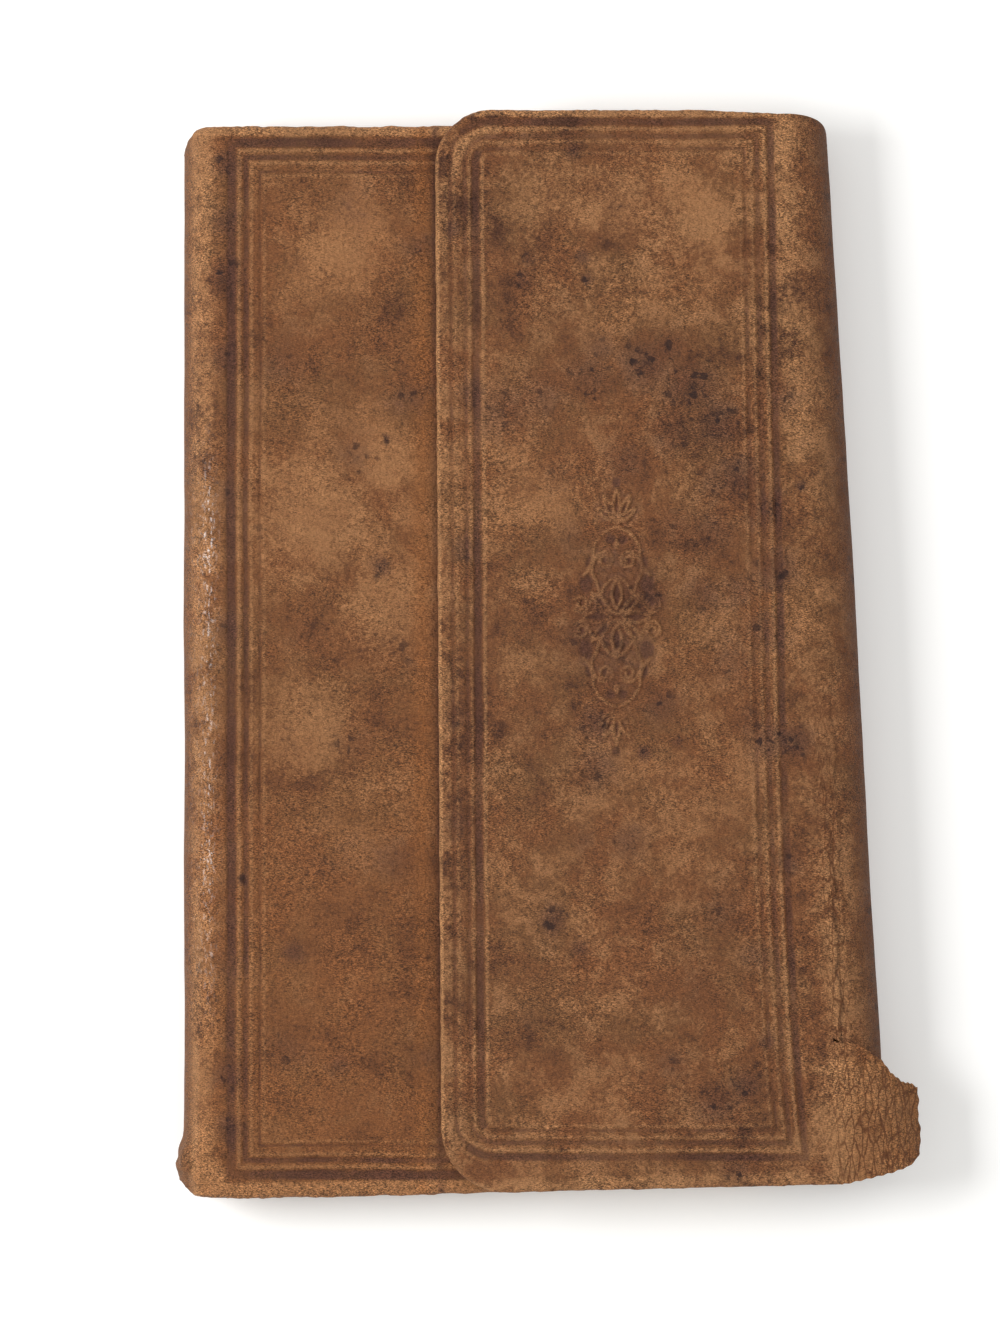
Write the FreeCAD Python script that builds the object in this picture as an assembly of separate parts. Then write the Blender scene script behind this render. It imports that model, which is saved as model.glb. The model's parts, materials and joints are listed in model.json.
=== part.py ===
"""Antique leather pocket book in a wallet binding, lying closed on its back cover. Sizes are millimetres.

X runs from the spine to the fore-edge, Y from the tail to the head and Z up from the table.
The origin is the middle of the back cover's underside. The leather leaves the back cover at the
fore-edge, goes round in a soft half-round roll and comes back over the front cover as the flap.
"""

import FreeCAD, Part
import math
import os

from FreeCAD import Placement, Rotation, Vector

# The closed book, measured over its covers
book_height = 160.0
book_width = 89.8
text_thickness = 6.3
square = 2.0
cover_corner = 3.0
edge_round = 1.0

# Thicknesses of the sheets
leather = 0.8
turned_skin = 0.3
board = 1.3
card = 0.5
paper = 0.2
spine_liner = 0.55
tape = 0.25

# Turn-ins, endpapers and the fit between layers
turn_in = 9.0
pastedown_margin = 3.0
leaf_gap = 0.1
joint_gap = 0.5
flyleaf_short = 0.3
headcap_depth = 1.7
headcap_thickness = 0.7
liner_short = 2.0
fore_edge_hollow = 0.9

# Sewing tapes
tape_width = 7.0
tape_slip = 20.0
tape_spacing = 50.0

# The fore-edge roll: how far its centre line stands past the boards at each end
slack_head = 0.15
slack_tail = 9.65
hinge_gap = 0.3
roll_head_dip = 2.8
hinge_angle = 45.0

# The flap: its edges measured from the front cover's own edges and the spine
flap_free_edge = 37.5
flap_free_edge_lean = 1.0
flap_past_head = 2.9
flap_short_of_tail = 0.7
flap_tail_rise = 1.2
flap_corner_head = 8.5
flap_corner_tail = 10.0
flap_gap = 0.3
flap_edge_round = 0.6
card_short = 1.1
flap_turn_in = 7.0
lining_margin = 2.0

# The torn end: the tear runs from the top of the roll down and towards the tail.
# Each point is the distance round the roll and the distance from the tail of the covers.
tear_line = [(0.0, 23.3), (6.8, 19.6), (10.8, 16.2), (13.0, 15.1), (16.5, 14.2), (21.0, 13.4)]
tear_opening = 0.8
ear_reach = 13.0
ear_curl_radius = 20.0
ear_corner = 2.2
ear_tail_rise = 3.4

# Blind-tooled frames: three grooves, each with its inset and its width
groove_depth = 0.25
grooves = [(0.0, 1.4), (2.35, 0.8), (4.3, 0.4)]
front_frame_spine = 6.9
front_frame_fore = 3.3
front_frame_head = 1.9
front_frame_tail = 3.0
flap_frame_free = 2.2
flap_frame_head = 1.9
flap_frame_tail = 5.4
flap_frame_fold = 1.1
flap_frame_corner = 5.0

# Worked out from the sizes above
half_height = book_height / 2
fore_x = book_width / 2
board_edge_x = fore_x - leather
cover_thickness = leather + board + turned_skin
pastedown_level = cover_thickness + paper
leaf_level = pastedown_level + leaf_gap
text_level = leaf_level + paper
closed_thickness = 2 * text_level + text_thickness
flap_thickness = leather + card + turned_skin + paper
total_thickness = closed_thickness + flap_gap + flap_thickness
spine_radius = closed_thickness / 2
spine_x = spine_radius - fore_x
board_spine_x = spine_x + joint_gap
text_spine_radius = spine_radius - leather - spine_liner
text_fore_x = fore_x - square
text_half_height = half_height - square
roll_radius = total_thickness / 2
roll_slope = (slack_tail - slack_head) / book_height
roll_slant = math.degrees(math.atan(roll_slope))
roll_middle_x = board_edge_x + (slack_head + slack_tail) / 2
gap_angle = math.degrees(hinge_gap / 2 / roll_radius)
flap_top = total_thickness
flap_leather_under = flap_top - leather
flap_card_under = flap_leather_under - card
flap_skin_under = flap_card_under - turned_skin
flap_under = flap_skin_under - paper
flap_head_y = half_height + flap_past_head
flap_tail_y = flap_short_of_tail - half_height
flap_free_x = flap_free_edge - fore_x
reach = 2 * book_height


def centre_line_x(y):
    """Where the roll's centre line crosses a given place along the book."""
    return roll_middle_x - y * roll_slope


card_fold_x = centre_line_x(flap_head_y) - card_short


def block(x0, x1, y0, y1, z0, z1):
    return Part.makeBox(x1 - x0, y1 - y0, z1 - z0, Vector(x0, y0, z0))


def outline(corners):
    """A closed outline in the plan from (x, y, radius) corners; a radius of 0 stays sharp."""
    edges = []
    ends = []
    count = len(corners)
    for i, (x, y, radius) in enumerate(corners):
        here = Vector(x, y, 0)
        before = Vector(*corners[i - 1][:2], 0) - here
        after = Vector(*corners[(i + 1) % count][:2], 0) - here
        before.normalize()
        after.normalize()
        if radius <= 0:
            ends.append((here, here, None))
            continue
        half = before.getAngle(after) / 2
        length = radius / math.tan(half)
        inward = before + after
        inward.normalize()
        middle = here + inward * (radius / math.sin(half) - radius)
        ends.append((here + before * length, here + after * length, middle))
    for i, (start, end, middle) in enumerate(ends):
        if middle is not None:
            edges.append(Part.Arc(start, middle, end).toShape())
        following = ends[(i + 1) % count][0]
        edges.append(Part.makeLine(end, following))
    return Part.Wire(edges)


def prism(corners, z0, z1):
    """A plan outline raised between two levels."""
    face = Part.Face(outline(corners))
    face.translate(Vector(0, 0, z0))
    return face.extrude(Vector(0, 0, z1 - z0))


def side_prism(points):
    """An outline of (y, z) points in the roll's own frame, run right across the roll."""
    wire = Part.makePolygon([Vector(-reach, y, z) for y, z in points + points[:1]])
    return on_roll(Part.Face(wire).extrude(Vector(2 * reach, 0, 0)))


def on_roll(shape):
    """Moves a shape from the roll's own frame, with its axis along Y, to its place in the book."""
    shape.Placement = Placement(Vector(roll_middle_x, 0, 0), Rotation(Vector(0, 0, 1), roll_slant))
    return shape


def shell_sector(inner, outer, first, last, centre_z, length):
    """Part of a tube along Y between two angles, counted from +X towards +Z."""

    def at(radius, angle):
        a = math.radians(angle)
        return Vector(radius * math.cos(a), -length, centre_z + radius * math.sin(a))

    middle = (first + last) / 2
    edges = [
        Part.Arc(at(outer, first), at(outer, middle), at(outer, last)).toShape(),
        Part.makeLine(at(outer, last), at(inner, last)),
        Part.Arc(at(inner, last), at(inner, middle), at(inner, first)).toShape(),
        Part.makeLine(at(inner, first), at(outer, first)),
    ]
    return Part.Face(Part.Wire(edges)).extrude(Vector(0, 2 * length, 0))


def roll_sector(inner, outer, first, last):
    return on_roll(shell_sector(inner, outer, first, last, roll_radius, book_height))


def along_book(low, high):
    """Everything between two places along the book."""
    return block(-reach, reach, low, high, -reach, reach)


def rounded(solid, radius, keep):
    """Rounds the edges that the test picks out."""
    return solid.makeFillet(radius, [edge for edge in solid.Edges if keep(edge)])


def mirror_to_front(shape):
    """The same piece on the front cover: upside down about the middle of the closed book."""
    return shape.mirror(Vector(0, 0, closed_thickness / 2), Vector(0, 0, 1))


def framed(x0, x1, y0, y1, lean, radius, z_top):
    """The cutters for the three nested grooves of a tooled frame. The outer one is centred on the box."""
    cutters = []
    for inset, width in grooves:

        def ring(grow):
            step = inset - grow
            left = x0 + step
            bend = max(radius - step, 0)
            corners = [
                (left, y1 - step, bend),
                (x1 - step, y1 - step, 0),
                (x1 - step + lean, y0 + step, 0),
                (left, y0 + step, bend),
            ]
            return prism(corners, z_top - groove_depth, z_top + groove_depth)

        cutters.append(ring(width / 2).cut(ring(-width / 2)))
    return cutters


def roll_head_edge():
    """What the leather of the roll lacks at the head: its edge dips between the two folds."""
    top = (flap_head_y - 0.3 * roll_head_dip, flap_top)
    dip = (flap_head_y - roll_head_dip - roll_radius * 0.4, roll_radius)
    foot = (half_height, 0.0)
    arc = Part.Arc(Vector(-reach, *top), Vector(-reach, *dip), Vector(-reach, *foot)).toShape()
    far = flap_head_y + reach
    rest = Part.makePolygon(
        [
            Vector(-reach, *foot),
            Vector(-reach, half_height, -reach),
            Vector(-reach, far, -reach),
            Vector(-reach, far, flap_top + reach),
            Vector(-reach, top[0], flap_top + reach),
            Vector(-reach, *top),
        ]
    )
    face = Part.Face(Part.Wire([arc] + rest.Edges))
    return on_roll(face.extrude(Vector(2 * reach, 0, 0)))


def tear_on_roll():
    """What the leather of the roll lacks below the tear."""
    points = [(tear_line[0][1] - half_height, flap_top + roll_radius)]
    for around, from_tail in tear_line:
        z = roll_radius + roll_radius * math.cos(around / roll_radius)
        points.append((from_tail - half_height + tear_opening / 2, z))
    points.append((points[-1][0], -roll_radius))
    points.append((-reach, -roll_radius))
    points.append((-reach, flap_top + roll_radius))
    return side_prism(points)


def closed_case():
    """The outer shape of the two covers and the spine, as one rounded block."""
    ends = [(fore_x, 0), (fore_x, closed_thickness), (spine_x, closed_thickness)]
    points = [Vector(x, -half_height, z) for x, z in [(spine_x, 0)] + ends]
    sides = [Part.makeLine(a, b) for a, b in zip(points, points[1:])]
    back = Part.Arc(points[3], Vector(-fore_x, -half_height, spine_radius), points[0]).toShape()
    block_shape = Part.Face(Part.Wire(sides + [back])).extrude(Vector(0, book_height, 0))
    slack = 0.01

    def upright(edge):
        box = edge.BoundBox
        return box.ZLength > closed_thickness - slack and box.XMin > fore_x - slack

    def rim(edge):
        box = edge.BoundBox
        at_end = box.YMax > half_height - slack or box.YMin < slack - half_height
        round_back = box.YLength < slack and box.XMax < spine_x + slack
        return box.ZLength < slack and (at_end or box.XMax > fore_x - slack) or round_back

    return rounded(rounded(block_shape, cover_corner, upright), edge_round, rim)


def case_rooms():
    """What is cut out of the case: the room for the pages, both boards and both windows in the turn-ins."""
    pages = block(spine_x, reach, -reach, reach, cover_thickness, closed_thickness - cover_thickness)
    inside = spine_radius - leather
    back = Part.makeCylinder(inside, 2 * reach, Vector(spine_x, -reach, spine_radius), Vector(0, 1, 0))
    back = back.common(block(-reach, spine_x, -reach, reach, -reach, reach))
    high = half_height - leather
    open_high = high - turn_in
    board_room = block(spine_x, board_edge_x, -high, high, leather, leather + board)
    front_window = block(
        spine_x, board_edge_x - turn_in, -open_high, open_high, leather, cover_thickness
    )
    back_window = block(spine_x, reach, -open_high, open_high, leather, cover_thickness)
    past_back_board = block(board_edge_x, reach, -reach, reach, leather, cover_thickness)
    front = [mirror_to_front(board_room), mirror_to_front(front_window)]
    return [pages, back, board_room, back_window, past_back_board] + front


def lower_roll():
    """The leather that leaves the back cover and turns up round the fore-edge as far as the lower fold."""
    inner_x = fore_x - cover_corner - edge_round
    flat = prism(
        [
            (inner_x, -half_height, 0),
            (centre_line_x(-half_height), -half_height, 0),
            (centre_line_x(half_height), half_height, 0),
            (inner_x, half_height, 0),
        ],
        0,
        leather,
    )
    roll = roll_sector(roll_radius - leather, roll_radius, -90.0, -hinge_angle - gap_angle)
    return [flat, roll.common(along_book(-half_height, half_height))]


def headcap(end):
    """The rolled bead of leather at one end of the spine."""
    outer = spine_radius - leather / 2
    inner = spine_radius - leather - headcap_thickness
    half_depth = headcap_depth / 2
    bead = shell_sector(inner, outer, 90.0, 270.0, spine_radius, half_depth)
    bead.translate(Vector(spine_x, end * (half_height - half_depth - edge_round), 0))
    return bead


def case_leather():
    """Front cover, spine, back cover and the lower part of the roll, in one skin."""
    skin = closed_case().cut(case_rooms())
    skin = skin.fuse(lower_roll() + [headcap(1), headcap(-1)]).removeSplitter()
    return skin.cut(
        framed(
            front_frame_spine - fore_x,
            fore_x - front_frame_fore,
            front_frame_tail - half_height,
            half_height - front_frame_head,
            0.0,
            0.0,
            closed_thickness,
        )
    )


def back_board():
    blank = block(
        board_spine_x,
        board_edge_x,
        leather - half_height,
        half_height - leather,
        leather,
        leather + board,
    )
    return blank.cut([tape_strip(y) for y in tape_places()])


def tape_places():
    return [tape_spacing, 0.0, -tape_spacing]


def tape_strip(y):
    """A sewing tape: round the back of the pages, and out over the inside of both boards."""
    curve = shell_sector(
        text_spine_radius, text_spine_radius + tape, 90.0, 270.0, spine_radius, tape_width / 2
    )
    curve.translate(Vector(spine_x, y, 0))
    level = leather + board
    between = block(-reach, reach, -reach, reach, level - tape, closed_thickness - level + tape)
    curve = curve.common(between)
    slip_start = spine_x - math.sqrt(
        text_spine_radius**2 - (spine_radius - level) ** 2
    )
    slip = block(
        slip_start - tape,
        board_spine_x + tape_slip,
        y - tape_width / 2,
        y + tape_width / 2,
        level - tape,
        level,
    )
    return curve.fuse([slip, mirror_to_front(slip)]).removeSplitter()


def endpaper(edge_x, wide_window):
    """A folded sheet on the back cover: the pastedown, the fold at the joint and the flyleaf."""
    margin = half_height - pastedown_margin
    fold_x = board_spine_x - 2 * paper
    rim = leather + turn_in
    sheet = block(fold_x, edge_x, -margin, margin, leather + board, pastedown_level)
    window_x = edge_x if wide_window else fore_x - rim
    skin = block(fold_x - 1, fore_x, rim - half_height, half_height - rim, 0, pastedown_level)
    skin = skin.common(block(fold_x - 1, window_x, -reach, reach, 0, pastedown_level))
    turned = block(
        fold_x - 1, fore_x, -half_height, half_height, leather + board, cover_thickness
    ).cut(skin)
    hollow = block(
        fold_x - 1,
        window_x - (0 if wide_window else paper),
        rim - half_height + paper,
        half_height - rim - paper,
        leather + board + paper,
        leaf_level,
    )
    pastedown = sheet.cut([turned, hollow])
    leaf_y = text_half_height - flyleaf_short
    leaf = block(fold_x, text_fore_x - flyleaf_short, -leaf_y, leaf_y, leaf_level, text_level)
    fold = block(fold_x, fold_x + paper, -leaf_y, leaf_y, leather + board, text_level)
    return pastedown.fuse([leaf, fold]).removeSplitter()


def back_endpaper():
    """The back endpaper goes on over the board's edge as the lining of the lower roll."""
    sheet = endpaper(board_edge_x + paper, True)
    margin = half_height - pastedown_margin
    over_edge = block(
        board_edge_x, board_edge_x + paper, -margin, margin, leather, leather + board + paper
    )
    flat = prism(
        [
            (board_edge_x, -margin, 0),
            (centre_line_x(-margin), -margin, 0),
            (centre_line_x(margin), margin, 0),
            (board_edge_x, margin, 0),
        ],
        leather,
        leather + paper,
    )
    inner = roll_radius - leather
    curve = roll_sector(inner - paper, inner, -90.0, -hinge_angle - gap_angle)
    curve = curve.common(along_book(-margin, margin))
    past = block(board_edge_x, reach, -reach, reach, leather, reach)
    return sheet.fuse([over_edge, flat, curve.common(past)]).removeSplitter()


def text_block():
    """The sewn pages: a rounded back, flat sides and a hollowed fore-edge."""
    low = text_level
    high = closed_thickness - text_level
    middle = spine_radius
    back_x = spine_x - math.sqrt(text_spine_radius**2 - (middle - low) ** 2)
    y = -text_half_height
    edges = [
        Part.makeLine(Vector(back_x, y, low), Vector(text_fore_x, y, low)),
        Part.Arc(
            Vector(text_fore_x, y, low),
            Vector(text_fore_x - fore_edge_hollow, y, middle),
            Vector(text_fore_x, y, high),
        ).toShape(),
        Part.makeLine(Vector(text_fore_x, y, high), Vector(back_x, y, high)),
        Part.Arc(
            Vector(back_x, y, high),
            Vector(spine_x - text_spine_radius, y, middle),
            Vector(back_x, y, low),
        ).toShape(),
    ]
    return Part.Face(Part.Wire(edges)).extrude(Vector(0, 2 * text_half_height, 0))


def spine_lining():
    """Cloth and paper between the back of the pages and the leather."""
    spread = math.degrees(math.asin((spine_radius - text_level) / text_spine_radius))
    strip = shell_sector(
        text_spine_radius,
        text_spine_radius + spine_liner,
        180 - spread,
        180 + spread,
        spine_radius,
        text_half_height - liner_short,
    )
    strip.translate(Vector(spine_x, 0, 0))
    return strip.cut([tape_strip(y) for y in tape_places()])


def wall_leather():
    """The middle of the roll, between the two folds, torn off towards the tail."""
    first = gap_angle - hinge_angle
    last = hinge_angle - gap_angle
    strip = roll_sector(roll_radius - leather, roll_radius, first, last)
    strip = strip.common(along_book(-half_height, flap_head_y))
    return strip.cut([roll_head_edge(), tear_on_roll()])


def wall_lining():
    first = gap_angle - hinge_angle
    last = hinge_angle - gap_angle
    inner = roll_radius - leather
    strip = roll_sector(inner - paper, inner, first, last)
    strip = strip.common(along_book(-half_height, half_height - lining_margin - roll_head_dip))
    return strip.cut([roll_head_edge(), tear_on_roll()])


def flap_corners(inset, fold_x=None):
    """The plan of the flap, drawn in at its free edge, head and tail. It ends at the roll or at a fold."""
    head = flap_head_y - inset
    tail = flap_tail_y + inset
    left = flap_free_x + inset
    right_head = centre_line_x(head) if fold_x is None else fold_x
    right_tail = centre_line_x(tail) if fold_x is None else fold_x
    return [
        (left, head, max(flap_corner_head - inset, 0)),
        (right_head, head, 0),
        (right_tail, tail + flap_tail_rise, 0),
        (left + flap_free_edge_lean, tail, max(flap_corner_tail - inset, 0)),
    ]


def flap_card():
    return prism(flap_corners(leather, card_fold_x), flap_card_under, flap_leather_under)


def flap_ear():
    """The torn end of the roll, which stands out beyond the fold in a shallow curl."""
    turn = math.degrees(ear_reach / ear_curl_radius)
    centre = flap_top - ear_curl_radius
    curl = shell_sector(
        ear_curl_radius - leather, ear_curl_radius, 90.0 - turn, 90.0, centre, book_height
    )
    far = ear_curl_radius * math.sin(math.radians(turn))
    corners = []
    for around, from_tail in tear_line:
        if around <= ear_reach:
            x = ear_curl_radius * math.sin(around / ear_curl_radius)
            corners.append((x, from_tail - half_height - tear_opening / 2, 0))
    tail = flap_tail_y + flap_tail_rise
    corners.append((far + 1, corners[-1][1], 0))
    corners.append((far + 1, tail + ear_tail_rise, 0))
    corners.append((far, tail + ear_tail_rise, 0))
    corners.append((far - ear_corner, tail + ear_tail_rise - ear_corner * 0.6, 0))
    corners.append((far / 2, tail + ear_tail_rise * 0.25, 0))
    corners.append((0, tail, 0))
    shape = prism(corners, -reach, reach)
    return on_roll(curl.common(shape))


def flap_leather():
    """The upper part of the roll, the flap with its turn-ins, and the ear."""
    body = prism(flap_corners(0, card_fold_x), flap_skin_under, flap_top)

    def top_rim(edge):
        box = edge.BoundBox
        return box.ZMin > flap_top - 0.01 and box.XMin < card_fold_x - 0.01

    body = rounded(body, flap_edge_round, top_rim)
    inside = leather + flap_turn_in
    window = prism(flap_corners(inside, card_fold_x), flap_skin_under, flap_card_under)
    body = body.cut([flap_card(), window])
    flat_corners = [
        (card_fold_x - 2, flap_head_y - flap_edge_round, 0),
        (centre_line_x(flap_head_y), flap_head_y - flap_edge_round, 0),
        (centre_line_x(flap_tail_y), flap_tail_y + flap_tail_rise + flap_edge_round, 0),
        (card_fold_x - 2, flap_tail_y + flap_tail_rise + flap_edge_round, 0),
    ]
    flat = prism(flat_corners, flap_leather_under, flap_top)
    roll = roll_sector(roll_radius - leather, roll_radius, hinge_angle + gap_angle, 90.0)
    roll = roll.common(along_book(-half_height, flap_head_y - flap_edge_round))
    roll = roll.cut([roll_head_edge(), tear_on_roll()])
    skin = body.fuse([flat, roll, flap_ear()])
    fold_at_head = centre_line_x(flap_head_y) - flap_frame_fold
    frame = framed(
        flap_free_x + flap_frame_free,
        fold_at_head,
        flap_tail_y + flap_frame_tail,
        flap_head_y - flap_frame_head,
        (centre_line_x(flap_tail_y) - centre_line_x(flap_head_y)) / 2,
        flap_frame_corner,
        flap_top,
    )
    return skin.cut(frame)


def flap_lining():
    """Paper over the card and the turn-ins, and on over the inside of the upper roll."""
    sheet = prism(flap_corners(lining_margin), flap_under, flap_leather_under)
    inside = leather + flap_turn_in + paper
    hollow = prism(flap_corners(inside, card_fold_x - paper), flap_under, flap_card_under - paper)
    open_fold = [
        (card_fold_x + paper, flap_head_y + 1, 0),
        (reach, flap_head_y + 1, 0),
        (reach, flap_tail_y - 1, 0),
        (card_fold_x + paper, flap_tail_y - 1, 0),
    ]
    past_card = prism(open_fold, flap_under, flap_leather_under - paper)
    inner = roll_radius - leather
    curve = roll_sector(inner - paper, inner, hinge_angle + gap_angle, 90.0)
    curve = curve.common(along_book(-half_height, half_height - lining_margin - roll_head_dip))
    curve = curve.cut([roll_head_edge(), tear_on_roll()])
    sheet = sheet.cut([hollow, past_card, flap_leather(), flap_card()])
    return sheet.fuse(curve).removeSplitter()


def write_parts():
    back = back_board()
    nodes = {
        "case_leather": case_leather(),
        "back_board": back,
        "front_board": mirror_to_front(back),
        "text_block": text_block(),
        "back_endpaper": back_endpaper(),
        "front_endpaper": mirror_to_front(endpaper(fore_x - pastedown_margin, False)),
        "spine_lining": spine_lining(),
        "wall_leather": wall_leather(),
        "wall_lining": wall_lining(),
        "flap_leather": flap_leather(),
        "flap_card": flap_card(),
        "flap_lining": flap_lining(),
    }
    for name, y in zip(("head", "middle", "tail"), tape_places()):
        nodes["sewing_tape_" + name] = tape_strip(y)
    os.makedirs("parts", exist_ok=True)
    for name, shape in nodes.items():
        print(name, len(shape.Solids), round(shape.Volume, 1), shape.isValid())
        shape.exportStep("parts/" + name + ".step")


write_parts()
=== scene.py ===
"""The looks of an antique leather pocket book: its worn hide, tooled frames, torn roll, pages and paper."""

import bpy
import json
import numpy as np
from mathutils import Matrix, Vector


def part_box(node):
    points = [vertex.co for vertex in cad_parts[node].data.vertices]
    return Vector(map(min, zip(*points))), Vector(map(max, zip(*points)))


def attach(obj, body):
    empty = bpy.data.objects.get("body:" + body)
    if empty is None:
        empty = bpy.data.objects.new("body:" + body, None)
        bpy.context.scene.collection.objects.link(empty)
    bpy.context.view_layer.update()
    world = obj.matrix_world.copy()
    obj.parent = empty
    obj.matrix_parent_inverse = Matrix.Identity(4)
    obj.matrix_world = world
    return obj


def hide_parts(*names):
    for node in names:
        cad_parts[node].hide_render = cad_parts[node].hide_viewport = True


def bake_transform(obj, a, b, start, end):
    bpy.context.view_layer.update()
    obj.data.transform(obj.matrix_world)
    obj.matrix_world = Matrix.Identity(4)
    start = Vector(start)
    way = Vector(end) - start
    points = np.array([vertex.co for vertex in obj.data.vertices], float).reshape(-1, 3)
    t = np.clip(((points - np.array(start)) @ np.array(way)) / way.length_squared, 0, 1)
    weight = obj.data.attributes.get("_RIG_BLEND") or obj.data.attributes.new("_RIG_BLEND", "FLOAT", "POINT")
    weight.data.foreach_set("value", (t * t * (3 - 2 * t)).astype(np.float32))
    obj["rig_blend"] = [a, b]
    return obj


bl_info = {
    "name": "Antique Wallet Book",
    "version": (1, 0, 0),
    "blender": (4, 5, 0),
    "location": "View3D > Sidebar > Wallet Book",
    "description": "Dresses a wallet-bound pocket book in worn leather, paper and linen",
    "category": "Object",
}

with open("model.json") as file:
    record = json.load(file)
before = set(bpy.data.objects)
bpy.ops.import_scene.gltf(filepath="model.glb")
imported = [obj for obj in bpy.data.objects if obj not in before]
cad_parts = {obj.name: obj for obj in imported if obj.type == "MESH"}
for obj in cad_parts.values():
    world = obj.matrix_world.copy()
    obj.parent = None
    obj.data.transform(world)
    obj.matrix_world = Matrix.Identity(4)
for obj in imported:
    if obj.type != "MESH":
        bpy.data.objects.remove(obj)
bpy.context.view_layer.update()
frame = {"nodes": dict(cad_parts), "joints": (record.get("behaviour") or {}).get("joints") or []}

import json
import math
import random

import bmesh
import bpy
import numpy as np
from mathutils import Vector, noise

MM = 0.001


# The frame, in millimetres

def node_box(node):
    """The lowest and highest corner of a node, in millimetres."""
    low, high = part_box(node)
    return low / MM, high / MM


LOWER_FOLD, UPPER_FOLD = frame["joints"]
AXIS = Vector(LOWER_FOLD["axis"]).normalized()
ACROSS = Vector((AXIS.y, -AXIS.x, 0))
ROLL_RADIUS = (LOWER_FOLD["pos_m"][2] + UPPER_FOLD["pos_m"][2]) / 2 / MM
FOLD_REACH = math.sqrt(ROLL_RADIUS**2 - (ROLL_RADIUS - LOWER_FOLD["pos_m"][2] / MM) ** 2)
ROLL_MIDDLE = Vector(LOWER_FOLD["pos_m"]) / MM - ACROSS * FOLD_REACH
SLOPE = AXIS.x / AXIS.y

TEXT_LOW, TEXT_HIGH = node_box("text_block")
BOARD_LOW, BOARD_HIGH = node_box("back_board")
FRONT_BOARD_LOW, FRONT_BOARD_HIGH = node_box("front_board")
CASE_LOW, CASE_HIGH = node_box("case_leather")
FLAP_LOW, FLAP_HIGH = node_box("flap_leather")
CARD_LOW, CARD_HIGH = node_box("flap_card")
BACK_LINING_LOW, BACK_LINING_HIGH = node_box("back_endpaper")

LEATHER = BOARD_LOW.z
HALF_HEIGHT = CASE_HIGH.y
FORE_X = BOARD_HIGH.x + LEATHER
CLOSED = FRONT_BOARD_HIGH.z + LEATHER
SPINE_RADIUS = CLOSED / 2
SPINE_X = CASE_LOW.x + SPINE_RADIUS
FLAP_TOP = FLAP_HIGH.z
FLAP_HEAD = FLAP_HIGH.y
FLAP_TAIL = -79.8
FLAP_MIDDLE = (FLAP_HEAD + FLAP_TAIL) / 2
FLAP_HALF = (FLAP_HEAD - FLAP_TAIL) / 2
FLAP_FREE = FLAP_LOW.x
CARD_END = CARD_HIGH.x
PAPER = 0.2


def fold_x(y):
    """Where the roll's centre line crosses a place along the book."""
    return ROLL_MIDDLE.x + (y - ROLL_MIDDLE.y) * SLOPE


def beside_fold(y, reach):
    """X and Y of the point that lies so far outside the roll's centre line, square to it."""
    along = (y - ROLL_MIDDLE.y) / AXIS.y
    x = ROLL_MIDDLE.x + AXIS.x * along + ACROSS.x * reach
    return x, ROLL_MIDDLE.y + AXIS.y * along + ACROSS.y * reach


def local_across(x, y):
    """How far a point lies outside the roll's centre line, square to it."""
    return (x - ROLL_MIDDLE.x) * ACROSS.x + (y - ROLL_MIDDLE.y) * ACROSS.y


def step(low, high, value):
    """A smooth rise from 0 at low to 1 at high."""
    t = np.clip((value - low) / (high - low), 0.0, 1.0)
    return t * t * (3 - 2 * t)


def bell(value, middle, width):
    """A smooth hump, 1 at its middle."""
    return np.exp(-(((value - middle) / width) ** 2))


def highest(*values):
    """The highest of several values at each point."""
    return np.maximum.reduce(values)


def flat_points(x, y):
    """Points on the table, under places of the book."""
    return np.stack([x, y, np.zeros_like(x)], 1)


def spaced(*stops):
    """Places of grid lines from (place, spacing) pairs. The last pair only ends the run."""
    places = []
    for (start, gap), (end, _) in zip(stops, stops[1:]):
        count = max(1, round((end - start) / gap))
        places += [start + (end - start) * i / count for i in range(count)]
    return places + [stops[-1][0]]


def noise_at(points, size, seed):
    """Smooth noise between -1 and 1 at points in millimetres, with lumps of the given size."""
    shift = Vector((seed * 17.3, seed * 5.1, seed * 9.7))
    return np.array([noise.noise(Vector(p) / size + shift) for p in points])


# Tooling: the frames and the centrepiece

FRONT_FRAME = {
    "left": -38.0, "right": 41.6, "top": 78.1, "bottom": -77.0, "corner": 0.0, "lean": 0.0, "flare": 0.0,
}
FLAP_FRAME = {
    "left": -5.2, "right": 42.9, "top": 81.1, "bottom": -74.2, "corner": 6.0, "lean": 3.2, "flare": 2.2,
}
# Each line of a frame is (inset, width, strength)
FRONT_LINES = [(0.0, 1.4, 1.0), (2.2, 0.8, 0.8), (4.35, 0.4, 0.6)]
FLAP_LINES = [(0.0, 1.1, 1.0), (2.15, 0.8, 0.7), (4.0, 0.55, 0.6)]
FREE_EDGE_LINES = [(0.0, 0.5, 0.6), (2.2, 0.6, 0.7), (3.8, 1.2, 1.0)]
FREE_EDGE_LEAN = 1.0


def frame_side(y, edge):
    """Where the frame's side next to the fold runs: it leans, and flares out near the tail."""
    toward_tail = np.clip((edge["top"] - y) / (edge["top"] - edge["bottom"]), 0, 1)
    return edge["right"] + edge["lean"] * toward_tail + edge["flare"] * toward_tail**6


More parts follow.
